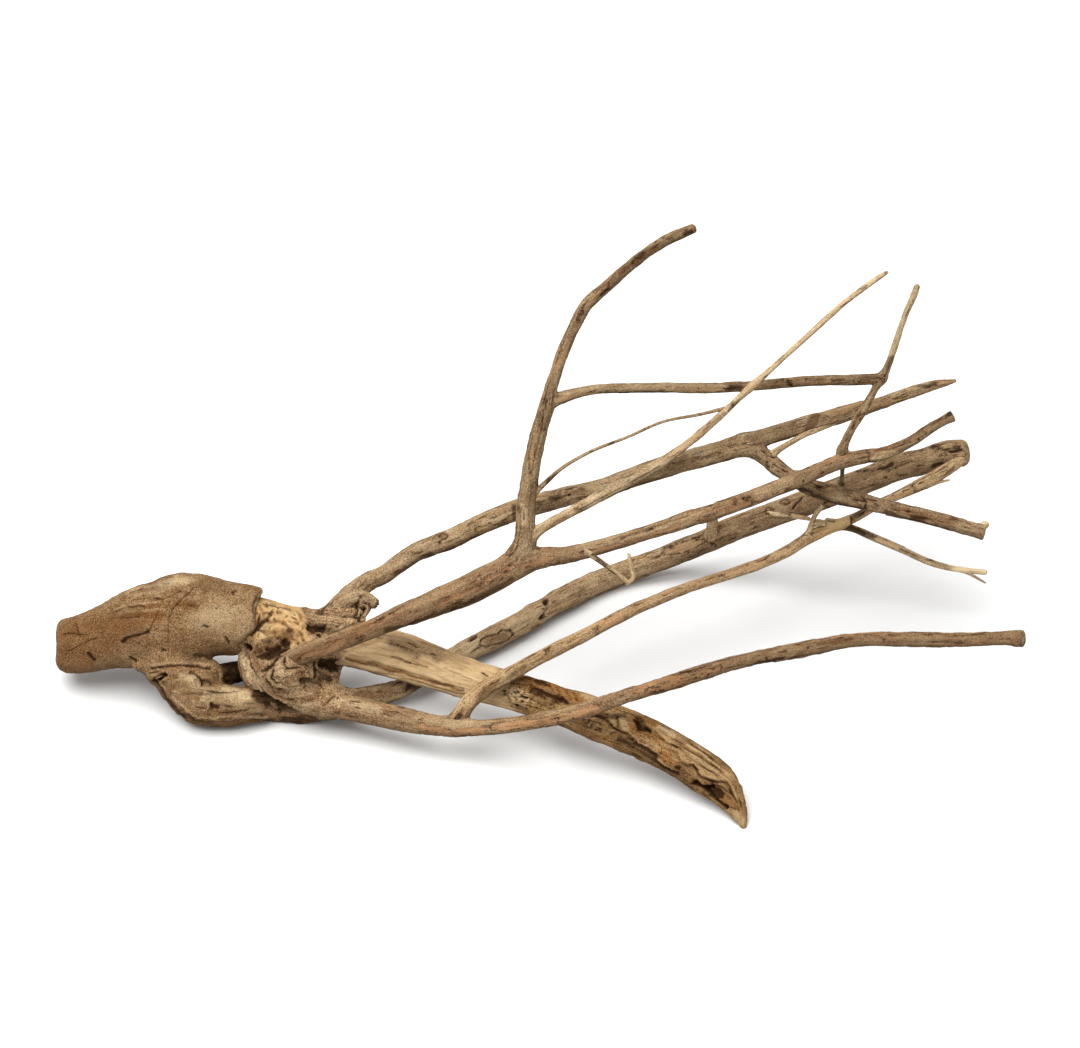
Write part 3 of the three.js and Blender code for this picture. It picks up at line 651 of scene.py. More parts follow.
knot_field = Field(*KNOT_BOX, KNOT_STEP)
knot_depth = knot_field.limb(HEARTWOOD)
for row, reach in zip(KNOT_SWELLINGS, KNOT_FILLETS):
    knot_depth = fillet(knot_depth, knot_field.swelling(row[:3], row[3:]), reach)
for route, stations, reach in (
    (UPPER_BRANCH, 4, 5), (LOW_BRANCH, 5, 5), (BACK_BRANCH, 4, 4), (SLAB, 3, 3), (SPLINTERS, 4, 1.5),
    (SNAG_FOOT, 3, 2),
):
    knot_depth = fillet(knot_depth, knot_field.limb(route[:stations], SLIM), reach)
chart, faces = knot_field.skin(knot_depth)
outward = knot_field.slopes(knot_depth, chart)
# The knot's shade marks are painted shade at the upper branch's foot and in the hollows under the front
# branch.
KNOT_MARKS = dict(
    crack=[(1.4, -133.7, -44, -136.5, -47.8, -139.7, -50.4, -142.3, -53.5, -144.2, -55.5),
        (0.9, -140.4, -45.3, -141.3, -48.5, -139.7, -50.4), (1.1, -125.5, -63.5, -129.5, -65, -133.3, -70.2,
        -139, -74), (0.7, -127.2, -67, -127.6, -70, -125.5, -72.2, -120, -72),
        (0.7, -133, -73, -134.5, -77, -131.5, -80), (0.8, -106.5, -57.6, -103, -55, -98.8, -52.8),
        (0.8, -112.9, -69, -112.5, -77), (0.8, -102.7, -85.8, -106.5, -89.3), (0.9, -90, -36.2, -91.4,
        -41.3, -92.8, -47.2)],
    brown=[(2.2, -140, -48, -142, -52), (1.2, -128, -49, -124, -54, -121, -56),
        (1.3, -139.6, -41, -137.8, -47), (1.1, -136, -49.4, -131, -48.6, -127, -51),
        (1.3, -143, -52.6, -138, -54.4, -133, -54), (1.3, -121, -44.6, -119.6, -47.6),
        (1, -119.6, -55, -117.6, -59), (1.5, -124, -56, -121, -59), (2, -145, -62, -143, -68, -140, -72),
        (3, -127, -79, -120, -76), (2.5, -118, -88, -110, -85)],
    pale=[(1.8, -139, -52, -134, -51.4), (1.6, -127.6, -44, -122.6, -45), (1.6, -141, -55.6, -136, -57.4),
        (1.2, -137, -58.5, -135, -60), (3.5, -148.5, -66, -146, -74, -139, -83), (4, -103, -88, -96, -92),
        (2.5, -120, -92, -112, -90)],
    line=[(0.7, -137.7, -44.6, -135, -44.4, -133.6, -42.8), (0.5, -138, -39.8, -131, -41.8, -124.6, -42.6),
        (0.6, -146.5, -64, -144.5, -71, -141, -77), (0.5, -133, -71, -133.5, -76, -129, -79),
        (0.6, -131, -79, -126, -81.5, -119, -80.5), (0.5, -140, -81, -135, -87, -127, -91),
        (0.5, -111.5, -48, -99, -49.8), (0.6, -109, -44.6, -98, -46.4)],
    pit=[(0.8, -131, -44.4), (0.7, -124, -46.4, -122.6, -47.4), (0.6, -118.6, -52), (0.6, -126.5, -46),
        (0.5, -121, -50), (0.9, -137.5, -62, -136, -63), (0.8, -131.5, -76.2, -130, -77),
        (0.8, -111, -55.5, -109.5, -56.5), (0.7, -107.5, -51)],
    dull=[(5, -138, -66, -130, -66.5), (5, -116, -51, -104, -54), (5, -124, -88, -112, -92)],
    spot_and_shade=[(3, -137, -66, -130.5, -65.4), (1.8, -111.6, -45, -108, -42.4, -105, -40),
        (1.3, -108.5, -43, -105, -41.4, -102, -39.4), (3, -112, -74, -106, -78)],
    fibre=[(0.6, -140, -38, -134, -39.6, -127, -41)], rot=[(6.2, -139, -64, -134, -61, -128, -57)],
    hollow=[(2.6, -136, -65.5, -131, -62), (1.8, -127.5, -58, -126, -61), (3, -114, -51.5, -109, -52.5),
        (3, -118, -79, -111, -80)],
    ridge=[(0.9, -133, -57.5, -131.5, -63), (0.9, -138, -60.5, -139.5, -65), (0.8, -112, -46.6, -99, -48.4),
        (0.7, -111, -49, -101, -50.6), (0.8, -112, -59, -104, -53.8, -98, -51),
        (0.8, -114.2, -69.5, -113.8, -76), (0.8, -111.5, -69.5, -111, -76)],
    void=[(1.8, -129.5, -63.8, -126, -63), (1.4, -147.5, -61, -145.5, -62), (4.5, -107, -70, -97, -71),
        (1.5, -117, -83, -112, -83), (2.3, -141.5, -85, -136, -87.5, -129.5, -91.2, -123, -94.5),
        (1.6, -90.5, -43.5, -91.2, -48)],
    lip=[(1.1, -151, -57, -150.5, -64, -148, -71, -144, -79), (1, -127.8, -66.5, -130, -69.5, -129.3, -73.5,
        -125, -75), (0.6, -122, -77, -120, -83, -115, -85.5)],
    groove=[(0.9, -148, -60, -147, -66, -143.5, -73), (1, -136, -71, -138, -76, -134, -82, -126, -85),
        (0.8, -137, -78, -132, -86, -122, -89)],
    fade=[(2, -131.5, -68, -131, -74), (10, -135, -79, -120, -87)], rust=[(4, -138, -80, -130, -86)],
)
# Pits, splinters and stains are scattered over the bare heartwood.
draw = np.random.default_rng(5)
scatter = np.column_stack([draw.uniform(-142, -118, 90), draw.uniform(-60, -37, 90)])
KNOT_MARKS["pit"] += [(0.55, a, b) for a, b in scatter[:30]]
KNOT_MARKS["fibre"] += [(0.6, a, b, a + 1.6, b - 0.6) for a, b in scatter[30:60]]
KNOT_MARKS["brown"] += [(0.8, a, b, a + 1.2, b - 0.8) for a, b in scatter[60:72]]
places = chart[:, :2] + 1.4 * np.column_stack([noise(chart / 3 + shift) for shift in (5, 45)])
bare = within(places, BARE_HEART, 0.7) * ease(-0.2, 0.2, outward[:, 2] + outward[:, 1])
swirl = 7 * np.column_stack([noise(chart / 22 + shift) for shift in (0, 30, 60)])
grain = (chart + swirl) * np.array([0.35, 1, 1])
knot_bark = weathered(
    "knot_bark", ("a98a66", "8f6d4a"), "533823", "c7ae88", wood="bb9766", speckle=0.85,
)
knot = Piece("knot", chart, outward, faces, grain, knot_bark, KNOT_MARKS, bare)
torn = 0.8 * noise(chart / 3.2) - 0.9 * np.abs(noise(chart / 4.5 + 20)) + 0.35 * noise(chart / 1.4)
torn *= 0.4 + 0.6 * ease(-46, -53, chart[:, 1])
fibres = noise(grain / 1.8)
gnarled = 0.9 * noise(chart / 8) + 0.5 * noise(chart / 3.4 + 7) + 0.45 * fibres
height = gnarled + bare * (torn - 0.6 * gnarled) + knot.marks[:, 0]
knot.relief = np.clip(0.9 * fibres + bare * torn + 0.4 * np.minimum(knot.marks[:, 0], 0), -1, 1)
# The skin stays smooth where the limbs' own bark takes over.
knot.raise_by(height * ease(-92, -100, chart[:, 0]))
knot.finish()


# The front branch, the twigs that fork from it, and the tall branch with its own. The front branch
# leaves the knot with a blunt, collared base and runs out to the right. Its bark is reddish brown.

# How limbs end: rings past the last station, from there to the tip. Each has its share of the girth
# and its distance from that station, in half widths.
ENDS = {
    "cut": [(0.97, 0.1), (0.88, 0.16), (0.66, 0.17), (0.4, 0.15), (0.18, 0.14)],
    "worn": [(0.93, 0.3), (0.76, 0.56), (0.5, 0.76), (0.24, 0.88)],
    "round": [(0.97, 0.14), (0.88, 0.32), (0.7, 0.45), (0.45, 0.52), (0.2, 0.56)],
    "broken": [(0.94, 0.2), (0.8, 0.5), (0.62, 0.3), (0.42, 0.7), (0.2, 0.4)],
}


class Limb(Piece):
    """A limb swept along its route, with grain that runs along it. fine is the width of its faces."""

    STATIONS_IN_GIRTH = 26
    STATION_GAPS = (0.65, 1)
    SIDES = (12, 120)
    SEEDS = 97

    def __init__(self, name, route, material, rough=1.0, end="worn", marks=None, fine=0.62):
        girth = 2 * math.pi * np.median([row[3] for row in route])
        stations = smooth_route(route, np.clip(girth / self.STATIONS_IN_GIRTH, *self.STATION_GAPS))
        self.stations = stations
        sides = int(np.clip(round(girth / fine), *self.SIDES))
        along = np.gradient(stations[:, :3], axis=0)
        along /= np.linalg.norm(along, axis=1)[:, None]
        across = np.cross(along, self.reference(along))
        across /= np.linalg.norm(across, axis=1)[:, None]
        outer = np.cross(across, along)
        rings = [(0, fraction, -reach) for fraction, reach in ENDS["worn"][::-1]]
        rings += [(k, 1, 0) for k in range(len(stations))]
        rings += [(len(stations) - 1, fraction, reach) for fraction, reach in ENDS[end]]
        index = np.array([ring[0] for ring in rings])
        share = np.array([ring[1] for ring in rings])[:, None]
        reach = np.array([ring[2] for ring in rings])[:, None] * stations[index, 3:4]
        angle = np.linspace(0, 2 * math.pi, sides, endpoint=False)
        width, depth = stations[index, 3:4], stations[index, 4:5]
        x, y = np.cos(angle) * width, np.sin(angle) * depth
        centres = stations[index, :3] + reach * along[index]
        spread = x[..., None] * across[index][:, None] + y[..., None] * outer[index][:, None]
        chart = centres[:, None] + spread * share[..., None]
        slope = (np.cos(angle) * depth)[..., None] * across[index][:, None]
        slope = slope + (np.sin(angle) * width)[..., None] * outer[index][:, None]
        slope /= np.linalg.norm(slope, axis=2)[..., None]
        tipward = np.sqrt(np.maximum(1 - share**2, 0)) * np.sign(reach)
        slope = slope * share[..., None] + tipward[..., None] * along[index][:, None]
        length = np.concatenate(([0], np.cumsum(np.linalg.norm(np.diff(centres, axis=0), axis=1))))
        seed = sum(map(ord, name)) % self.SEEDS
        run = np.broadcast_to(length[:, None], x.shape)
        grain = np.stack([0.13 * run + seed, x * share, y * share + 3 * seed], axis=2)
        count = len(rings)
        poles = np.array([centres[0], centres[-1]])
        chart = np.concatenate([chart.reshape(-1, 3), poles])
        slope = np.concatenate([slope.reshape(-1, 3), [-along[0], along[-1]]])
        grain = np.concatenate([grain.reshape(-1, 3), [grain[0].mean(axis=0), grain[-1].mean(axis=0)]])
        corner = np.arange(count * sides).reshape(count, sides)
        beside = np.roll(corner, -1, axis=1)
        quads = np.stack([corner[:-1], corner[1:], beside[1:], beside[:-1]], axis=2).reshape(-1, 4)
        faces = quads.tolist()
        faces += [(count * sides, int(corner[0, k]), int(beside[0, k])) for k in range(sides)]
        faces += [(count * sides + 1, int(beside[-1, k]), int(corner[-1, k])) for k in range(sides)]
        super().__init__(name, chart, slope, faces, grain, material, marks)
        radius = np.concatenate([np.repeat(stations[index, 3], sides), stations[[0, -1], 3]])
        inner = np.concatenate([np.repeat(share[:, 0], sides), [0, 0]])
        fade = np.minimum(1, radius / 4)
        around = grain / np.maximum(radius, 0.5)[:, None]
        lumps = 0.055 * radius * noise(around * np.array([1.4, 1, 1]))
        lumps += 0.04 * radius * noise(around * np.array([4, 1.6, 1.6]) + 5)
        fibres = 0.3 * noise(grain / 1.5) + 0.18 * noise(grain / 0.8 + 3)
        flakes = 0.22 * ease(0.0, 0.15, noise(grain * np.array([2.2, 1, 1]) / 2.6))
        long_grain = grain * np.array([1.2, 1, 1])
        self.peel = 1.5 * noise(long_grain / 4.5 + 11) + 0.5 * noise(long_grain / 1.8 + 4) - 0.42
        self.peel += self.marks[:, 4]
        worn = np.where(self.peel > 0, 0.4, 1)
        height = lumps + fade * rough * (fibres + flakes) * worn + self.marks[:, 0]
        height -= 0.3 * fade * ease(-0.02, 0.08, self.peel)
        dents = np.minimum(self.marks[:, 0], 0)
        self.relief = np.clip(rough * (2.4 * fibres + flakes) + 0.6 * dents, -1, 1)
        self.raise_by(height * np.where(inner < 1, 0.6, 1))
        if end == "broken":
            splinters = 0.25 * (inner < 0.9) * radius * noise(chart / 0.9)
            self.chart = self.chart + splinters[:, None] * slope

    @staticmethod
    def reference(along):
        """The direction that a limb's front faces: to the eye, or up where it runs to the eye."""
        return np.where(np.abs(along[:, 2:]) > 0.9, [0, 1, 0], [0, 0, 1])

    def near(self, places):
        """How far places are from this limb's surface, and the directions away from it."""
        gap = np.full(len(places), 1e9)
        away = np.zeros((len(places), 3))
        for station in self.stations:
            offset = places - station[:3]
            far = np.linalg.norm(offset, axis=1)
            closer = far - station[3] < gap
            gap[closer] = far[closer] - station[3]
            away[closer] = offset[closer] / np.maximum(far[closer], 1e-6)[:, None]
        return gap, away


MEETING_MARGIN = 12


def grow_together(first, second, reach):
    """Raises the bark of two limbs into a fillet where they meet."""
    moved = []
    for one, other in ((first, second), (second, first)):
        low = other.stations[:, :3].min(axis=0) - MEETING_MARGIN
        high = other.stations[:, :3].max(axis=0) + MEETING_MARGIN
        chosen = np.flatnonzero(((one.chart > low) & (one.chart < high)).all(axis=1))
        gap, away = other.near(one.chart[chosen])
        swell = reach / 4 * np.clip(1 - np.abs(gap) / reach, 0, 1) ** 2
        course = one.outward[chosen] + away
        course /= np.maximum(np.linalg.norm(course, axis=1), 0.3)[:, None]
        moved.append((one, chosen, swell[:, None] * course))
    for one, chosen, shift in moved:
        one.chart[chosen] += shift


FRONT_BRANCH = [
    (-129, -69.5, 14, 4.2), (-118, -64.8, 20, 5), (-105, -60.4, 23, 5), (-92.5, -55.6, 24, 4.6),
    (-85, -52.8, 24.5, 4.7), (-75, -48.4, 25.5, 5.2), (-65, -44.7, 26.5, 6.1), (-50, -38.5, 28, 6.8),
    (-35, -32.5, 28, 7.3), (-20, -25, 28, 7.2), (-9, -19.2, 28, 6.4), (1, -16.8, 28, 5.2),
    (11, -15.8, 28, 4.3), (25, -12.7, 27, 3.8), (40, -8.5, 26, 3.6), (60, -2.3, 23, 3.8),
    (72, 1.7, 21, 4.1), (100, 10.9, 17, 4), (119, 18.1, 15, 3.9), (130, 22.5, 14, 4),
    (140, 27, 13, 3.7), (151, 31.3, 12, 3.6), (163, 33.7, 12, 3.5), (172, 35.3, 13, 3.2),
    (180, 38.5, 14, 2.8), (188, 42.9, 16, 2.8), (194, 47.1, 18, 2.7), (200, 50.6, 19, 2.3),
    (203.4, 52.4, 19.5, 2.6), (206.2, 53.8, 20, 2.9),
]
TALL_BRANCH = [
    (-12, -19, 28, 6.4), (-8, -9.5, 29, 5.5), (-7.3, -0.5, 30, 4.9), (-7, 9, 31, 4.8),
    (-5.3, 21, 32, 4.3), (-3.4, 33, 33, 4.2), (-0.2, 47, 35, 4.1), (3.6, 59.5, 37, 3.8),
    (6, 69, 38, 3.3), (10.9, 84.3, 40, 3), (16.8, 98, 43, 2.9), (20.7, 105.6, 45, 3.1),
    (24, 110.4, 46, 3), (31, 116.8, 49, 3), (40, 125, 52, 2.9), (51.4, 134.2, 56, 2.7),
    (61.6, 141, 59, 2.7), (71, 145.4, 61, 2.8), (76.4, 147.6, 63, 2.6),
]
CROSS_BRANCH = [
    (4.8, 60.8, 37, 2.9), (10, 62.8, 37, 3), (17, 65.2, 36, 2.7), (30, 67.4, 34, 2.5),
    (55, 68.2, 30, 2.5), (85, 68, 23, 2.5), (105, 69, 18, 2.5), (130, 71.2, 13, 2.5),
    (152, 72, 11, 2.6), (171, 72.6, 10, 2.7),
]
HOOKED_TWIG = [
    (152, 31.5, 9, 2.5), (151.2, 36.2, 12, 3.1), (152.4, 40.5, 12.5, 2.2), (155.5, 47, 12, 2),
    (158.8, 52.6, 12, 2.2), (163.6, 60.2, 11, 2.1), (167.4, 67.4, 10, 1.9), (170.6, 72.8, 10, 2.7),
    (173.4, 77.8, 9, 1.9), (177.5, 89.3, 8, 1.7), (182.8, 104.8, 6, 1.5), (187.5, 115.6, 4, 1.7),
    (188.5, 118.6, 4, 1.5),
]
LINK_THREAD = [
    (151.5, 31, 11, 1.7), (151.2, 27, 0, 1.1), (151, 24, -22, 1.1), (150.6, 20.5, -40, 1.4),
    (150.4, 18, -47, 2.4),
]
WHIP = [
    (-8, -10.5, 28, 3.2), (-2.2, -4.4, 30, 2.9), (4, -0.3, 28, 2.5), (11, 3.7, 24.5, 2.5),
    (18, 7.5, 21, 2.6), (32, 15, 13, 2.9), (46, 22.5, 9, 2.7), (60, 30.6, 9, 2.3), (72, 38.8, 12, 2.1),
    (90.4, 54.3, 19, 1.8), (100.4, 63.8, 24, 1.7), (106, 68.9, 26, 2.2), (112.4, 74.7, 28, 1.5),
    (130.3, 90.8, 35, 1.4), (150, 108.8, 43, 1.5), (166, 121, 49, 1.35), (171.3, 124.6, 51, 1.2),
    (173.4, 125.8, 52, 0.9),
]
THREAD = [
    (-3.5, 14.5, 31, 1.6), (2.5, 20.4, 31, 1.3), (10, 27.2, 30, 1), (24, 35.6, 28, 0.85),
    (45, 44, 25, 0.75), (61, 51, 23, 0.75), (80, 54.8, 21, 0.8), (94, 58.2, 20, 1),
]
BROKEN_TWIG = [
    (21, -12.4, 29, 1.6), (25.4, -15.4, 30.4, 1.4), (35, -22.2, 27, 1.2), (44, -29.2, 23, 1.1),
]
BROKEN_TIP = [
    (43.8, -30, 22.6, 1), (46.6, -26.8, 24, 1.1), (45.6, -21.4, 25.5, 1), (44.4, -15, 27, 0.8),
]

red_bark = weathered("red_bark", ("8f7454", "7e5f44"), "543b28", "b99e78", inner="a37652")
tan_bark = weathered("tan_bark", ("a58c6b", "8d7151"), "5e4631", "ccb48d", inner="ad8860")
high_bark = weathered("high_bark", ("8d775a", "796044"), "4c3826", "b9a17c", inner="9a7551")
pale_bark = weathered(
    "pale_bark", ("c8ae88", "ae906a"), "77593d", "e6d2ab", inner="c9a67e", wood="e2caa0", chips=0.6,
)

# The front branch's first shade line is painted shade along its underside; its other shade marks are dark
# spots.
front_branch = Limb("front_branch", FRONT_BRANCH, red_bark, end="cut", marks=dict(
    spot_and_shade=[(2.1, -77, -53.5, -64, -50, -50, -44.5, -36, -39.2, -22, -32.5, -14, -27.5),
        (1.3, 163.6, 37.6, 165, 30.6), (1.3, 203, 54.5, 206.5, 56.6)],
    rust=[(3, -118, -65, -105, -60, -85, -51)],
    dull=[(5, -126, -68, -105, -60, -88, -54), (4, -84, -52, -62, -44, -46, -38),
        (5, 182, 39.6, 194, 47, 206, 54), (5, 130, 22, 160, 33)],
    fade=[(4, 20, -12, 50, -5, 80, 4), (6, 110, 15, 134, 24, 162, 33), (5, 182, 39.6, 194, 47, 206, 54)],
    brown=[(2, -126, -68.5, -120, -66.5), (1, 186, 44.6, 194, 49.4, 201, 53), (1.2, 168, 37.4, 180, 40.2)],
    peel=[(1.1, -104, -60.5, -98, -58), (1.2, -91, -54.4, -80, -49.3, -73, -46), (1.5, -52, -41.5, -36,
        -33.6, -22, -26.4, -13, -21.5), (1.6, -10, -21.5, 0, -18.5, 6, -17),
        (1.3, 30, -13, 50, -7.5, 70, -1), (1.4, 80, 3, 104, 10.5)],
    line=[(0.6, -80.3, -47.2, -74.5, -44.3, -68, -41), (0.5, -43, -36.5, -30, -30.6, -19, -27),
        (0.5, 36, -8, 56, -1.6, 74, 4), (0.5, 167, 36.4, 176, 37.6, 186, 41.4)],
    pit=[(0.7, -62, -43.8), (0.6, -65, -43.8), (0.6, -68.5, -46), (0.6, -59.2, -38.3), (0.7, -54.5, -35.2),
        (0.6, -71, -47.5), (0.7, -36, -28), (0.7, -33, -26.5), (0.6, -30.5, -25.6), (0.6, -38.5, -30.5),
        (0.8, -18, -24.5, -15.5, -23.5), (0.7, 189, 42), (0.7, 193, 45), (0.7, 124, 19), (0.7, 132, 21.4),
        (0.7, 141, 25.4), (0.6, 146, 31)],
    keep=[(2, -70, -42, -56, -36, -44, -31), (4, 112, 16, 160, 33), (4, 185, 41, 206, 54),
        (3, 165, 34, 182, 39)],
    pale=[(1.4, 167, 32.9, 172, 33.5, 179, 35.4)], fibre=[(0.6, 168, 35.2, 177, 36.2)],
))
tall_branch = Limb("tall_branch", TALL_BRANCH, high_bark, end="round", marks=dict(
    dull=[(5, 34, 120, 52, 134, 76, 147), (3, 1, 48, 5, 66)],
    spot_and_shade=[(1.4, 46, 131, 52, 136), (1.2, 63, 142.6, 66, 143.4), (1.2, 72, 145, 76, 146),
        (1.2, 30, 114.5, 34, 117.6)],
    brown=[(2, 40, 126, 58, 139), (2, 17, 99, 21.4, 106.5)],
    peel=[(1.6, 8.6, 78, 11.6, 84.5, 14, 92), (1.1, 5, 60, 7.4, 72)],
    line=[(0.5, -2.6, 33, 0.6, 50, 3.4, 62)], pale=[(2, -8, 0, -8.4, 9)],
))
cross_branch = Limb("cross_branch", CROSS_BRANCH, high_bark, marks=dict(
    pale=[(3, 6, 60, 14, 64.6)], fade=[(4, 20, 66, 60, 68, 90, 68.6)],
    dull=[(3, 112, 69.6, 140, 71.4), (3, 148, 72, 170, 72.6)],
    pit=[(0.6, 118, 71), (0.6, 126, 69.6), (0.6, 133, 71.6), (0.6, 146, 72.6), (0.6, 157, 71.4)],
    spot_and_shade=[(1.1, 30, 65.4, 50, 65.9, 66, 65.9), (2, 94, 68, 99.6, 68), (1.6, 124, 71, 125, 70)],
    peel=[(1.5, 69, 67.3, 90, 67), (1.6, 111, 69.6, 122, 70), (1.4, 127, 70.4, 144, 71.2)],
))
hooked_twig = Limb("hooked_twig", HOOKED_TWIG, high_bark, fine=0.5, marks=dict(
    pale=[(3, 176, 86, 183, 105, 189, 119)], keep=[(3, 174, 80, 183, 105, 189, 119)],
    spot_and_shade=[(1.2, 151, 33, 152.6, 35), (1, 172.6, 74, 176, 84)], brown=[(1.4, 156, 48, 160, 55)],
))
link_thread = Limb("link_thread", LINK_THREAD, high_bark, fine=0.5, marks=dict(
    spot_and_shade=[(3, 151.4, 29, 150.6, 20)],
))
whip = Limb("whip", WHIP, pale_bark, fine=0.5, marks=dict(
    dull=[(2, -4, -6, 14, 5)],
    fade=[(3, 30, 14, 60, 30, 92, 56, 130, 90, 172, 125), (3, 106, 69, 172, 125), (3, 140, 99, 170, 124)],
    line=[(0.5, 20, 7.5, 46, 21, 60, 29)],
    spot_and_shade=[(1.2, 16.8, 7.6, 18.4, 8), (1, 96, 59.4, 99, 62), (0.9, 172.6, 125.6)],
    brown=[(1.2, 82, 47, 92, 55)],
))
thread = Limb("thread", THREAD, tan_bark, fine=0.4, marks=dict(
    spot_and_shade=[(1.4, 3.4, 21, 8, 25.4), (1.1, 35, 40, 37, 40.8)], dark=[(1.2, 25.4, 36.4), (1, 80, 55)],
))
broken_twig = Limb("broken_twig", BROKEN_TWIG, pale_bark, end="broken", fine=0.5, marks=dict(
    dull=[(2.4, 25, -15.6, 36, -23.4)], spot_and_shade=[(1.1, 26, -15, 33, -20.4)],
    line=[(0.5, 28, -18.6, 38, -25.4)],
))
broken_tip = Limb("broken_tip", BROKEN_TIP, pale_bark, end="broken", fine=0.45)
for child, parent, reach in (
    (tall_branch, front_branch, 5), (whip, front_branch, 2.5), (whip, tall_branch, 3),
    (thread, tall_branch, 1.5), (cross_branch, tall_branch, 3), (hooked_twig, front_branch, 2.5),
    (hooked_twig, cross_branch, 1.5), (broken_twig, front_branch, 1.5),
):
    grow_together(child, parent, reach)
for piece in (
    front_branch, tall_branch, cross_branch, hooked_twig, link_thread, whip, thread, broken_twig,
    broken_tip,
):
    piece.finish()


# The upper branch: the next out of the knot, behind the front one, in tan bark. It carries a broken
# snag at its foot. Past its middle a side branch forks from it, with a thin shoot and a pale burr.
SNAG = [(-99, -42, -7, 5.5), (-92, -38, -3, 4.6), (-87, -37.5, -1, 3.6), (-82.6, -39.7, 0, 2.7)]
SNAG_LIP = [(-91, -37, -3, 3.4), (-87.5, -42, -1, 3), (-90, -46.5, 0, 2.4), (-91.5, -49, 1, 1.4)]
SIDE_BRANCH = [
    (102, 39.5, -6, 4.6), (108.5, 35.8, -5, 4.2), (121, 26.6, -3, 3.8), (128, 21.6, -2, 3.8),
    (136, 18.2, -2, 4.1), (146, 15.2, -3, 4.5), (165, 10.2, -4, 4.1), (176, 7.7, -3, 3.7),
    (197, 2.8, 1, 3.5), (210, -0.8, 3, 3.6), (221.8, -4, 4, 3.9),
]
GRAFT = [(116.5, 29.5, -4, 3), (120.6, 26.3, 2, 3), (126, 23.9, 9, 3), (131.5, 24, 13, 3)]
SIDE_BURR = [(220.6, -2.6, 4, 1.9), (221.8, -1.2, 4.3, 1.9), (222.7, -0.2, 4.4, 1.9)]
SIDE_SHOOT = [
    (114, 33, -4, 2.6), (118.6, 36.6, -4, 1.7), (124, 40, -5, 1.4), (131.4, 44.2, -7, 1.4),
    (138.6, 47.3, -9, 1.6), (147, 50.8, -11, 1.6),
]
# The snag's shade line is painted shade at the upper branch's foot, where it meets the knot.
SNAG_MARKS = dict(
    crack=[(0.9, -90, -35.9, -91.4, -41.2, -92.6, -47)],
    spot_and_shade=[(1.8, -111.6, -45, -108, -42.4, -105, -40)], void=[(1.5, -88.8, -42.2, -89.6, -47.5)],
    line=[(0.6, -88.4, -36.6, -87.4, -41.6), (0.5, -85.8, -37.2, -85.4, -41.4),
        (0.5, -98, -41.2, -93, -42.6)],
    pit=[(0.6, -83.8, -38.2)], fade=[(2.5, -87, -38, -84, -39.5)],
    fibre=[(0.6, -87.6, -37.6, -86.6, -42)],
)
UPPER_MARKS = dict(
    ring=[(0.75, *oval(-48.2, -6, 1.7, 1.4)), (1.1, -50.7, -9.8, -50.2, -9.6)],
    brown=[(0.8, -48.2, -6), (1.8, 13.6, 15.4, 22.6, 16.4), (2, 48, 20, 56, 22),
        (3.4, 133.6, 47.5, 138.4, 54), (2.4, 150, 56, 160, 58.6)],
    fade=[(5, 14, 14, 40, 21, 62, 29), (4, -60, -13, -40, -6)],
    spot_and_shade=[(1.2, -50.6, -9.9, -50.1, -9.6), (3, -12.6, 8.6, -11.4, 3.6), (2.4, 5.6, 12.8, 9.8, 14),
        (1.4, 190, 68.6, 198, 70.2), (1.5, -72, -25, -62, -18.5, -54, -14.5)],
    pale=[(0.7, -46, -3.5, -45.3, -5.6), (2.5, -28, 1, -18.5, 3), (3, 95, 37, 104, 39)],
    pit=[(0.6, -62.5, -15), (0.9, 15, 14.6), (0.9, 18, 16.8)], keep=[(4, -90, -30, -60, -13, -35, -3)],
    dull=[(3.2, 133.6, 47.5, 138.4, 54), (3, 65.5, 28, 76, 31), (3, 104, 42, 126, 50)],
    void=[(1.2, 36, 15, 45, 18)], peel=[(2, 164, 58.2, 172, 60.4, 180, 62.8), (1.4, 200, 70, 207, 71.6)],
    line=[(0.6, -42, -9.4, -36, -7.6, -30, -6)],
)
# The snag's marks cross over to the branch that it grows from.
upper_marks = {kind: SNAG_MARKS.get(kind, []) + UPPER_MARKS.get(kind, []) for kind in MARKS}
upper_branch = Limb("upper_branch", UPPER_BRANCH, tan_bark, marks=upper_marks)
snag = Limb("snag", SNAG, tan_bark, end="broken", marks=SNAG_MARKS)
snag_lip = Limb("snag_lip", SNAG_LIP, tan_bark, end="broken", marks=SNAG_MARKS)
side_bark = weathered("side_bark", ("937a5b", "795e42"), "4e3a28", "bba482", inner="a17a55")
side_branch = Limb("side_branch", SIDE_BRANCH, side_bark, end="cut", marks=dict(
    pit=[(1, 111, 36.4, 112.4, 35.6), (0.9, 113.6, 31), (0.9, 115.6, 34, 116.6, 33.4), (0.9, 117.8, 30.4),
        (0.9, 119, 26), (1, 121.6, 27.4, 123, 26.4), (0.8, 122.8, 23.8), (0.8, 138, 19, 141, 18.6),
        (0.9, 157, 12.4, 158.4, 11.6), (0.8, 168, 10, 169.6, 9.4), (0.8, 176, 10), (0.8, 184, 6)],
    fade=[(4, 106, 38, 124, 25)],
    spot_and_shade=[(1.9, 127, 19.4, 132, 17, 144, 11.6, 160, 7.2), (1.2, 172, 6, 190, 1, 204, -2.4),
        (1.6, 186, 3.6, 192, 2.4)],
    crack=[(0.9, 161.4, 14.2, 163, 10.4, 162.6, 7)], brown=[(2, 176, 8, 206, 0.6)],
    pale=[(1.2, 222, -7.6, 223, -1)],
))
graft = Limb("graft", GRAFT, side_bark, marks=dict(pit=[(0.9, 119, 26), (1, 121.6, 27.4, 123, 26.4)]))
side_burr = Limb("side_burr", SIDE_BURR, pale_bark)
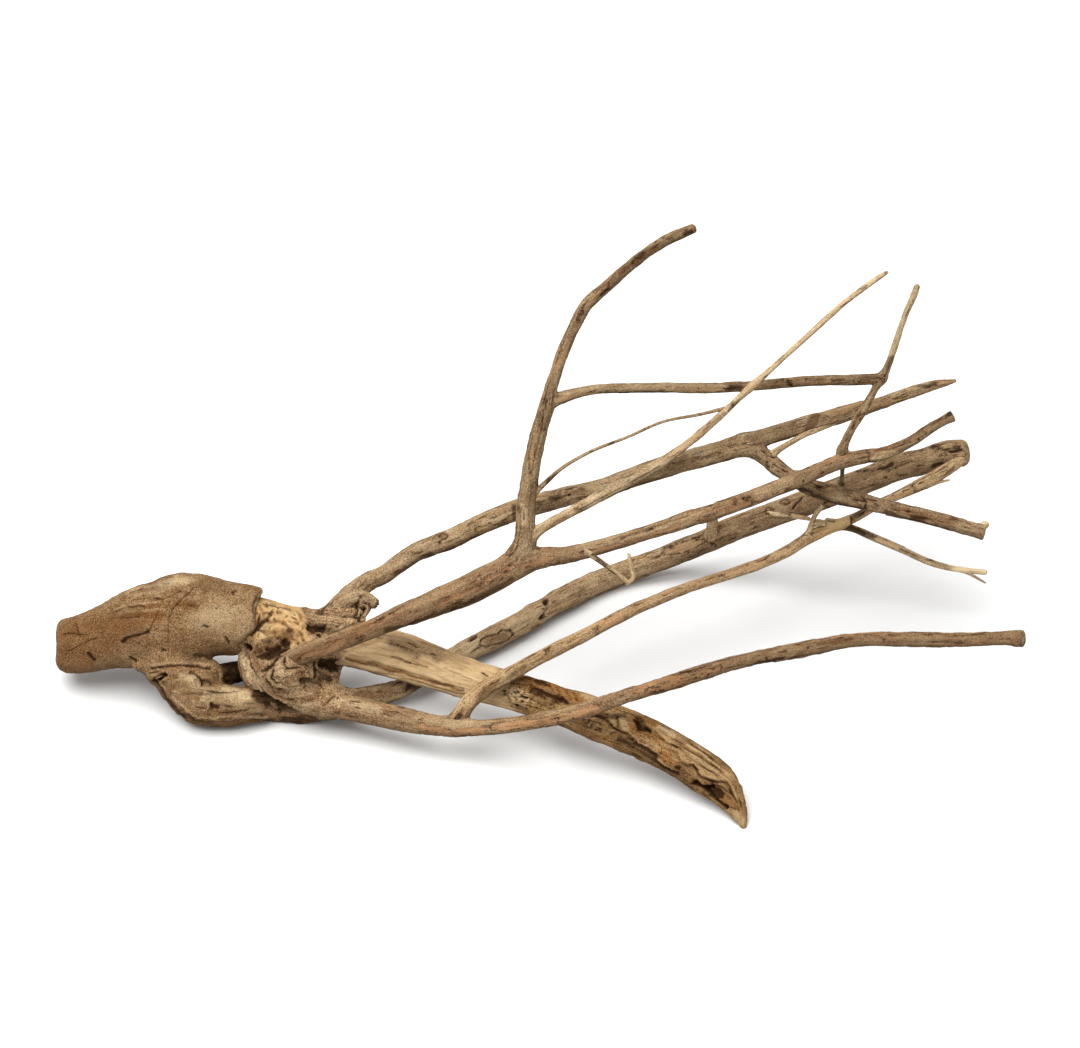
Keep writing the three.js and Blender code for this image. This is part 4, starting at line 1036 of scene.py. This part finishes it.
side_shoot = Limb("side_shoot", SIDE_SHOOT, pale_bark, end="broken", fine=0.5)
for child, parent, reach in (
    (snag, upper_branch, 3), (snag_lip, snag, 2), (side_branch, upper_branch, 5),
    (side_burr, side_branch, 1.5), (side_shoot, side_branch, 2), (graft, side_branch, 3),
):
    grow_together(child, parent, reach)
for piece in (upper_branch, snag, snag_lip, side_branch, graft, side_burr, side_shoot):
    piece.finish()


# The back branch: the thickest of the long ones, in pale bark. It leaves the knot low down, dips
# behind the slab and rises again far behind the others to the right, with a stub and a splinter.
BACK_STUB = [(86, -8, -73, 3.6), (86, -2, -68, 3.1), (86, 3.2, -64, 2.7)]
BACK_SPLINTER = [
    (111, 6.5, -62, 1.4), (117.5, 5.2, -56.5, 1.3), (125, 4.2, -54, 1.2), (134.5, 2.6, -51, 1),
]
back_bark = weathered("back_bark", ("af9470", "977958"), "654c33", "d0b790", inner="b69068")
# The back branch's two wide shade marks below the slab, and the one along its lower edge near the end, are
# painted shade; its other shade marks are dark spots.
back_branch = Limb("back_branch", BACK_BRANCH, back_bark, end="round", marks=dict(
    ring=[(0.8, -29.6, -57.9, -26.4, -56, -21.8, -55.1, -19, -52.8, -14.8, -52.8, -13.5, -55.6),
        (0.8, -13.5, -55.6, -16.2, -57.9, -21.8, -60.2, -28.2, -61.6, -30.1, -60.2, -29.6, -57.9),
        (0.6, *oval(122.5, 11, 2.4, 1.2)), (0.6, *oval(114.6, 6.6, 2, 1.6))],
    brown=[(2.6, -26, -58.6, -17, -55.4), (3, -92, -86, -74, -84)],
    fade=[(7, -44, -67, -20, -56, 2, -44), (6, -44, -68, -20, -57, 2, -45)], keep=[(5, -30, -60, 0, -44)],
    groove=[(1, 1.6, -38.5, 3.6, -42, 1.4, -45.5, 0, -47.5)],
    void=[(1.1, -35, -57.6, -32.5, -56), (2, 2.6, -38.6), (1.8, 1.4, -46.6)],
    spot_and_shade=[(1.3, 2.6, -38, 3.6, -40), (1.2, 1.6, -45.4), (1.2, 143, 10.8), (1.2, 159, 25.6, 164, 27.4),
        (1.3, 170, 27.6, 173, 28, 176, 30), (1.3, 196.6, 38.4, 200.4, 38), (1.4, 207, 38.8, 210, 38.4),
        (1.5, 196, 29, 201, 30.4), (1.3, 83, -8, 88, -10), (1.1, 62, -12, 66, -11), (3, -66, -82, -58, -80),
        (5, -64, -79, -52, -71)],
    line=[(0.6, -28, -60.4, -34, -63)], dull=[(11, 70, -14, 110, 2, 150, 17, 206, 35)],
    crack=[(0.8, 126, 7.5, 130.4, 13.2), (0.9, 201, 37.4, 206, 36.4, 211.6, 37.6)],
    pit=[(0.9, 149.4, 21.4)],
))
back_stub = Limb("back_stub", BACK_STUB, back_bark, end="broken")
back_splinter = Limb("back_splinter", BACK_SPLINTER, pale_bark, end="broken", fine=0.5)
grow_together(back_stub, back_branch, 3)
grow_together(back_splinter, back_branch, 1.5)
for piece in (back_branch, back_stub, back_splinter):
    piece.finish()


# The low branch runs out of the knot along the front, close over the ground, in brown bark that has
# peeled in strips. The paler curved branch rises from it, with a curl, a stub and a frayed twig.
CURVED_BRANCH = [
    (-42.4, -100.4, 26, 4), (-39.8, -95.2, 27, 4.1), (-35.4, -89.2, 28, 3.9), (-26, -81.4, 28, 4),
    (-11, -72.8, 27, 3.7), (-1, -67.2, 26, 3.5), (6, -63.6, 25, 3.5), (25, -54.3, 20, 3.1),
    (38, -47.3, 15, 3.2), (60, -37.2, 7, 2.9), (80, -29.7, 0, 2.6), (98, -24, -6, 2.7),
    (111, -19.5, -10, 2.7), (123, -13.8, -14, 2.8), (136, -6, -18, 3), (150, 0, -21, 2.8),
    (160, 4.6, -22, 2.3), (170, 10.6, -23, 2), (176, 13, -23, 2.2), (184, 16.8, -23, 2.7),
    (194, 21.6, -23, 3.2), (203, 26.8, -23, 3.1), (208, 30.2, -24, 2.8), (211, 32.2, -25, 2.4),
]
CURL = [(133.5, -7, -17, 2), (135.5, -1, -16, 1.3), (137, 3.4, -14, 1.2), (141.5, 9.2, -9, 1.1)]
CURL_STUB = [(135.4, -1, -16, 1.3), (138.6, 0.6, -16, 1.8), (142, 0.2, -17, 1.5)]
SPLIT_HAIR = [(193, 19, -23, 1.4), (199, 20.8, -22, 0.9), (204.6, 22, -21, 0.5)]
FRAYED_TWIG = [
    (144, 1, -19, 2.2), (151, -1, -22, 1.8), (157.5, -2.6, -23.5, 1.8), (165, -5.8, -25, 1.9),
    (180, -12.4, -27, 1.8), (195, -19.1, -28.5, 1.6), (203, -21.5, -29, 1.5), (212, -23, -30, 1.4),
    (222.6, -24.2, -31, 1.3),
]
FRAYED_TIP = [(210, -22.6, -30, 1.1), (217, -26.1, -30, 0.7), (222.6, -29.4, -30, 0.45)]
low_bark = weathered("low_bark", ("94795a", "846547"), "543b28", "bba07a", inner="b28259")
low_branch = Limb("low_branch", LOW_BRANCH, low_bark, end="cut", marks=dict(
    peel=[(2.4, -62, -101, -44, -104, -30, -103.2), (3.1, -19, -101.6, -5, -100, 11, -96.6, 28, -92.4),
        (1.9, 64, -81.2, 76, -77.2, 89.6, -72.4)],
    keep=[(3, -90, -92, -68, -97), (2.4, -48, -98.6, -30, -99), (1.5, -62, -96, -20, -98),
        (3, 118, -66, 150, -59.6, 240, -57.4)],
    pale=[(3.5, -95, -89, -82, -93), (2, 242.4, -61.6, 242.4, -53.6), (2, 242.6, -60, 242.6, -55)],
    fade=[(5, -60, -97, -42, -99.6, -26, -99), (3, -46, -99, -36, -99.6), (2, 242.4, -61, 242.4, -54)],
    spot_and_shade=[(1.6, -28, -101.5, -26, -101.5), (1.1, 108, -69.6, 122, -66.8)],
    dull=[(8, 62, -80, 100, -69, 150, -59.5, 240, -57.5)],
    line=[(0.5, 66, -75.6, 76, -73.2, 86, -70.6), (0.7, 90.6, -73, 90.2, -70.4),
        (0.5, 196, -59, 212, -59.4)],
    pit=[(0.9, 113.4, -67.2), (0.55, 66, -81.2), (0.55, 69, -79), (0.55, 72, -79.4), (0.55, 75, -77),
        (0.55, 78, -77.4), (0.55, 81, -75.2), (0.55, 84, -75.6), (0.55, 87, -73), (0.5, 70.6, -81),
        (0.5, 76.6, -79.4), (0.8, 134, -62), (0.7, 172, -58)],
    brown=[(1.6, 140, -60, 156, -57.8)],
))
curved_bark = weathered("curved_bark", ("b89a72", "a1805a"), "6c4f33", "dac196", inner="bb9168")
curved_branch = Limb("curved_branch", CURVED_BRANCH, curved_bark, rough=0.8, end="broken", marks=dict(
    keep=[(4, 140, -3, 155, 2), (4, -44, -102, -40, -96, 0, -66)],
    dull=[(3, -16, -76, -4, -68, 10, -61.6), (4, -43, -101, -38, -93), (3, -43, -101, -39.6, -96),
        (1.8, -31, -86.6, -20, -79, -8, -72.4)],
    fade=[(3.4, 176, 14, 194, 22, 210, 31)], spot_and_shade=[(2.6, 157, 3.4, 163, 7)],
    brown=[(2, -42, -99, -40, -96), (1.6, -30, -85, -22, -79)], fibre=[(0.6, 166, 9, 180, 16, 206, 29)],
    crack=[(0.7, 155.6, 4, 156.2, -0.6)], line=[(0.5, 168, 12, 186, 19.6, 204, 29)],
    peel=[(2, 88, -27, 112, -19)],
))
# Bare wood shows along the curved branch before its crack, and at the frayed twig's end.
along_u = curved_branch.chart[:, 0]
curved_branch.bare = 0.65 * ease(134, 146, along_u) * ease(155.6, 154.8, along_u)
curl = Limb("curl", CURL, pale_bark, end="broken", fine=0.5)
curl_stub = Limb("curl_stub", CURL_STUB, pale_bark, end="broken", fine=0.5)
split_hair = Limb("split_hair", SPLIT_HAIR, pale_bark, fine=0.45)
frayed_twig = Limb("frayed_twig", FRAYED_TWIG, pale_bark, end="broken", fine=0.5, marks=dict(
    spot_and_shade=[(2.4, 148, -0.4, 158, -3, 166, -6.4), (2.4, 152, -1.2, 161, -4.4)],
    peel=[(2, 169, -7.6, 178, -11.6)], dull=[(2, 184, -14, 204, -21.6)],
    pale=[(2.4, 209, -22.4, 224, -24.4), (2.4, 212, -23, 224, -24.4)], fade=[(2, 204, -21.4, 224, -24.4)],
))
frayed_twig.bare = ease(204.5, 208, frayed_twig.chart[:, 0])
frayed_tip = Limb("frayed_tip", FRAYED_TIP, pale_bark, fine=0.45, marks=dict(
    dull=[(3, 214, -25, 223, -30)],
))
for child, parent, reach in (
    (curved_branch, low_branch, 6), (curl, curved_branch, 2), (curl_stub, curl, 1),
    (split_hair, curved_branch, 1), (frayed_twig, curved_branch, 2), (frayed_tip, frayed_twig, 1),
):
    grow_together(child, parent, reach)
for piece in (low_branch, curved_branch, curl, curl_stub, split_hair, frayed_twig, frayed_tip):
    piece.finish()


# The slab: a half of a split stem. Its face is bare, flat wood near the knot. Further down it keeps
# its bark, with hollows and a long groove, and it ends in a worn point on the ground.
SLAB_MARKS = dict(
    crack=[(0.8, -74.4, -66.4, -69.8, -67.8, -65.2, -69.2), (0.6, -29.5, -74.5, -26.2, -75.8),
        (1, 10.4, -87.8, 14, -89.4), (1.3, 26, -95.4, 33, -98, 37.8, -102.4, 42.9, -105.4, 48.5, -109.5),
        (1.3, 48.5, -109.5, 53.6, -113.1, 57.4, -115.4), (1, 57.4, -115.4, 58, -118.4, 62.7, -122.3, 68.4,
        -124.8), (0.7, 38.6, -96.3, 39, -101.4), (0.8, 76.3, -120.4, 80, -125.8, 85.4, -128.6, 93.6, -128.9,
        95.2, -131.5), (0.8, 95, -132.5, 98.4, -139.1)],
    line=[(0.5, -65, -69.4, -56, -71.5), (0.6, -65.8, -59.2, -61.4, -61.5),
        (0.6, -97, -67.6, -84.6, -70.6, -73, -74), (0.5, -84, -68.6, -73, -71.8, -61, -75.4, -50, -79, -38,
        -82.2), (0.5, -61, -78.6, -50, -82.2, -37.5, -85.5), (0.4, -48, -72, -34, -78),
        (0.8, -14.6, -79.6, -11, -80.4, -6.6, -80.8), (0.7, -5, -81.4, -0.6, -82.4, 4, -85.4, 7, -88),
        (0.7, -18.6, -83.4, -16.5, -86, -14.8, -88.5), (0.6, 4.7, -80.6, 6.6, -84),
        (0.6, 8, -81.6, 11, -86.4), (0.6, 12.9, -82.8, 15.7, -88.2), (0.6, 16.7, -84, 19.1, -89),
        (0.5, 0.5, -79, 1.6, -82), (0.8, 57.6, -103.4, 62.7, -109, 68.4, -111.6), (0.5, 60, -112, 66, -113),
        (0.7, 68.6, -113.6, 70, -119, 73.6, -121.4, 76.3, -120.4),
        (0.45, 72, -111.5, 80, -116.5, 92, -124.5), (0.45, 73, -116, 80, -120.5, 89, -126),
        (0.4, 76, -110.4, 86, -117, 95, -125), (0.8, 88.3, -130.4, 92, -131.8, 95.4, -134.8),
        (0.5, 93, -140.6, 99.5, -143)],
    # The first two dull bands run along the face's top edge under the front branch: grey weathering and the
    # branch's painted shadow.
    dull=[(5.5, -79, -55, -67, -60, -56, -63.5, -47, -66.5, -40, -69),
        (2.5, -100, -64.5, -88, -60, -79, -55.5), (1.3, -73, -73, -61.6, -76.6, -50, -80.2, -38.7, -83.3),
        (4.5, -74, -58, -62, -62, -50, -66.5), (3, -74, -60, -62, -66), (3, -16, -89, -6, -92, 8, -95.5),
        (6, 14, -99, 36, -108), (3, 38, -110.4, 54, -118, 67, -125.4, 80, -132, 92, -141),
        (2, 38, -111.4, 54, -119, 67, -126), (2.4, 62, -100.4, 81, -110.8, 96, -122.5, 102, -132),
        (3.6, 72, -122.5, 78, -126.5), (6, 88, -131, 97, -140)],
    fade=[(4, -62, -73, -40, -78), (4, -38, -76, -24, -80), (0.9, -60, -79.5, -50, -83, -40, -86.4),
        (5, -15, -84, -9, -88), (3, 62, -102, 84, -114), (2.6, 76, -116.5, 88, -124.5)],
    brown=[(1.1, -97, -67, -84.6, -69.7, -73, -73, -61.6, -76.6, -50, -80.2, -38.7, -83.3),
        (3.4, -5, -81.6, 4, -87, 12, -88.6), (3, -8, -77, 2, -79.6, 8, -82, 14, -85, 20, -88),
        (2.4, 44.5, -97, 46.5, -102), (3, 52, -103, 60, -108), (2.2, 54, -97.5, 58, -100),
        (1.6, 61.5, -114.5, 65.5, -117), (3, 86, -133, 95, -137)],
    fibre=[(0.5, -62, -77.5, -50, -81.1, -38.5, -84.3), (0.6, -14, -78.6, -7, -79.6), (0.6, 4, -84, 7, -88),
        (0.6, 0, -86, 4, -88.6), (0.6, 6.4, -81, 9.2, -85), (0.6, 10.8, -82.6, 13.6, -87),
        (0.6, 14.8, -83.8, 17.4, -88.6), (0.7, 35, -94, 41, -96), (0.6, 50.6, -98.6, 52.4, -101.6),
        (0.7, 58.6, -102.6, 63.6, -107.9, 69, -110.6), (0.7, 57.9, -111.5, 57.8, -117, 63, -121.2, 67.5,
        -123.8), (0.8, 69.4, -112.5, 71, -118, 74, -120, 76.5, -119, 80.6, -124.6, 85.7, -127.2, 93.5,
        -127.7), (0.6, 72, -113, 81, -118.6, 91, -126), (0.5, 74, -110.5, 84, -117, 94, -126),
        (0.5, 70, -109, 80, -114.6, 90, -121.6), (0.6, 88, -131.6, 92, -133, 95.4, -136.4),
        (0.6, 96.4, -131.5, 99, -137.5)],
    dark=[(4.6, -2.6, -83.6, 2, -86, 7, -87.6), (2.4, 8, -87.2, 13, -89.2)],
    groove=[(1.2, -3.6, -82.2, 1, -84, 5, -86.2), (1.2, 8.4, -87.4, 12.4, -88.8)],
    pit=[(1.2, 1, -86.6, 2.2, -87.2), (1, -2.4, -85.4), (0.6, 60.4, -115), (0.6, 63, -116.4),
        (0.6, 65.6, -119.4), (0.5, 62.4, -118.6), (1.6, 68.6, -121.6, 69.6, -122.6)],
    plate=[(4.5, -14, -84.5, -9, -88), (2, 36.3, -98.5, 36.8, -99.6), (2.8, 42, -98.5, 43, -101.4)],
    rust=[(3, -8, -77, 8, -82.5, 20, -88), (3.4, 61, -115, 66, -119), (2, 90, -139, 96, -140.4)],
    spot_and_shade=[(1.4, -2, -78.4, 4, -80.4), (2.2, 26, -94, 36, -96, 42, -96),
        (2.8, 40, -107.5, 48, -111.5, 57, -117.5)],
    pale=[(2.2, 22, -85.5, 28, -87.5), (2.3, 36.3, -98.5, 36.8, -99.6), (3, 42, -98.5, 43, -101.4),
        (2, 60, -101.4, 67, -105.6), (2.6, 97, -144, 101, -149)],
    rot=[(3.6, 49.5, -97.5, 50.5, -102)],
    void=[(1.4, 48.4, -98, 49.4, -102.4), (1.1, 52.8, -101.8, 55, -103.4),
        (1.4, 77.5, -128.9, 80.5, -131, 82.6, -133), (1.5, 82.6, -131.4, 86, -130.6),
        (1.2, 82.6, -133.4, 87.4, -137.6, 92.8, -141.7)],
    hollow=[(3.2, 85, -132.5, 90, -134.5)],
)
# Crumbs lie in and around the hollow, and specks along the bark further down.
draw = np.random.default_rng(11)
SLAB_MARKS["pit"] += [(0.65, -10.5 + 4.4 * a, -86.3 + 3.2 * b) for a, b in draw.normal(size=(56, 2))]
SLAB_MARKS["fibre"] += [
    (0.6, -10 + 4.2 * a, -86.8 + 3.2 * b, -10 + 4.2 * a + c, -86.3 + 3.2 * b)
    for a, b, c in draw.normal(size=(50, 3))
]
SLAB_MARKS["pit"] += [
    (0.6, 27 + 22 * a, -100.5 - 11 * a - 2.5 * b) for a, b in draw.uniform(-1, 1, (46, 2))
]
SLAB_MARKS["pale"] += [
    (0.7, 31 + 24 * a, -101 - 12 * a - 3 * b) for a, b in draw.uniform(-1, 1, (46, 2))
]
SLAB_MARKS["pit"] += [
    (0.9, 3.6 + 8.4 * a, -85.6 - 3.2 * a - 2.2 * b) for a, b in draw.uniform(-1, 1, (22, 2))
]
SLAB_MARKS["fibre"] += [
    (0.7, 3 + 8 * a, -85 - 3.2 * a - 2 * b, 4.6 + 8 * a, -86 - 3.2 * a - 2 * b)
    for a, b in draw.uniform(-1, 1, (14, 2))
]
brown_bark = weathered(
    "brown_bark", ("9c7a4f", "7f5d38"), "432b17", "c2a273", inner="a87b4c", wood="c9aa80",
    stain="94602c",
)
slab = Limb("slab", SLAB, brown_bark, rough=1.3, fine=0.5, marks=SLAB_MARKS)
bark_edge = slab.chart[:, 0] + 0.4 * (slab.chart[:, 1] + 85) + 2 * noise(slab.chart / 4)
slab.bare = ease(-12, -19, bark_edge) * ease(-0.2, 0.2, slab.outward[:, 2])
# The slab's bark doesn't peel.
slab.peel = slab.peel - 2
slab.finish()


# The floor and light: a plain pale floor, and a wide soft lamp above and to the front left, under an
# even white sky.
FLOOR_HALF = 6
FLOOR_COLOUR = (0.86, 0.86, 0.85, 1)
FLOOR_ROUGHNESS = 0.9
SKY_STRENGTH = 0.5
LAMP_WIDTH = 2.2
LAMP_POWER = 62
LAMP_PLACE = (-0.5, -0.3, 1.9)
LAMP_TILT = (math.radians(-8), math.radians(-15), 0)

corners = [(-1, -1), (1, -1), (1, 1), (-1, 1)]
floor_mesh = bpy.data.meshes.new("floor")
floor_mesh.from_pydata([(FLOOR_HALF * x, FLOOR_HALF * y, 0) for x, y in corners], [], [(0, 1, 2, 3)])
floor = bpy.data.objects.new("floor", floor_mesh)
bpy.context.collection.objects.link(floor)
floor_material = bpy.data.materials.new("pale_floor")
floor_material.use_nodes = True
floor_shader = floor_material.node_tree.nodes["Principled BSDF"]
floor_shader.inputs["Base Color"].default_value = FLOOR_COLOUR
floor_shader.inputs["Roughness"].default_value = FLOOR_ROUGHNESS
floor_mesh.materials.append(floor_material)

world = bpy.data.worlds.new("studio")
world.use_nodes = True
sky = world.node_tree.nodes["Background"]
sky.inputs["Color"].default_value = (1, 1, 1, 1)
sky.inputs["Strength"].default_value = SKY_STRENGTH
bpy.context.scene.world = world
lamp = bpy.data.objects.new("key_light", bpy.data.lights.new("key_light", "AREA"))
lamp.data.shape = "DISK"
lamp.data.size = LAMP_WIDTH
lamp.data.energy = LAMP_POWER
lamp.location = LAMP_PLACE
lamp.rotation_euler = LAMP_TILT
bpy.context.collection.objects.link(lamp)
bpy.context.scene.view_settings.view_transform = "Standard"
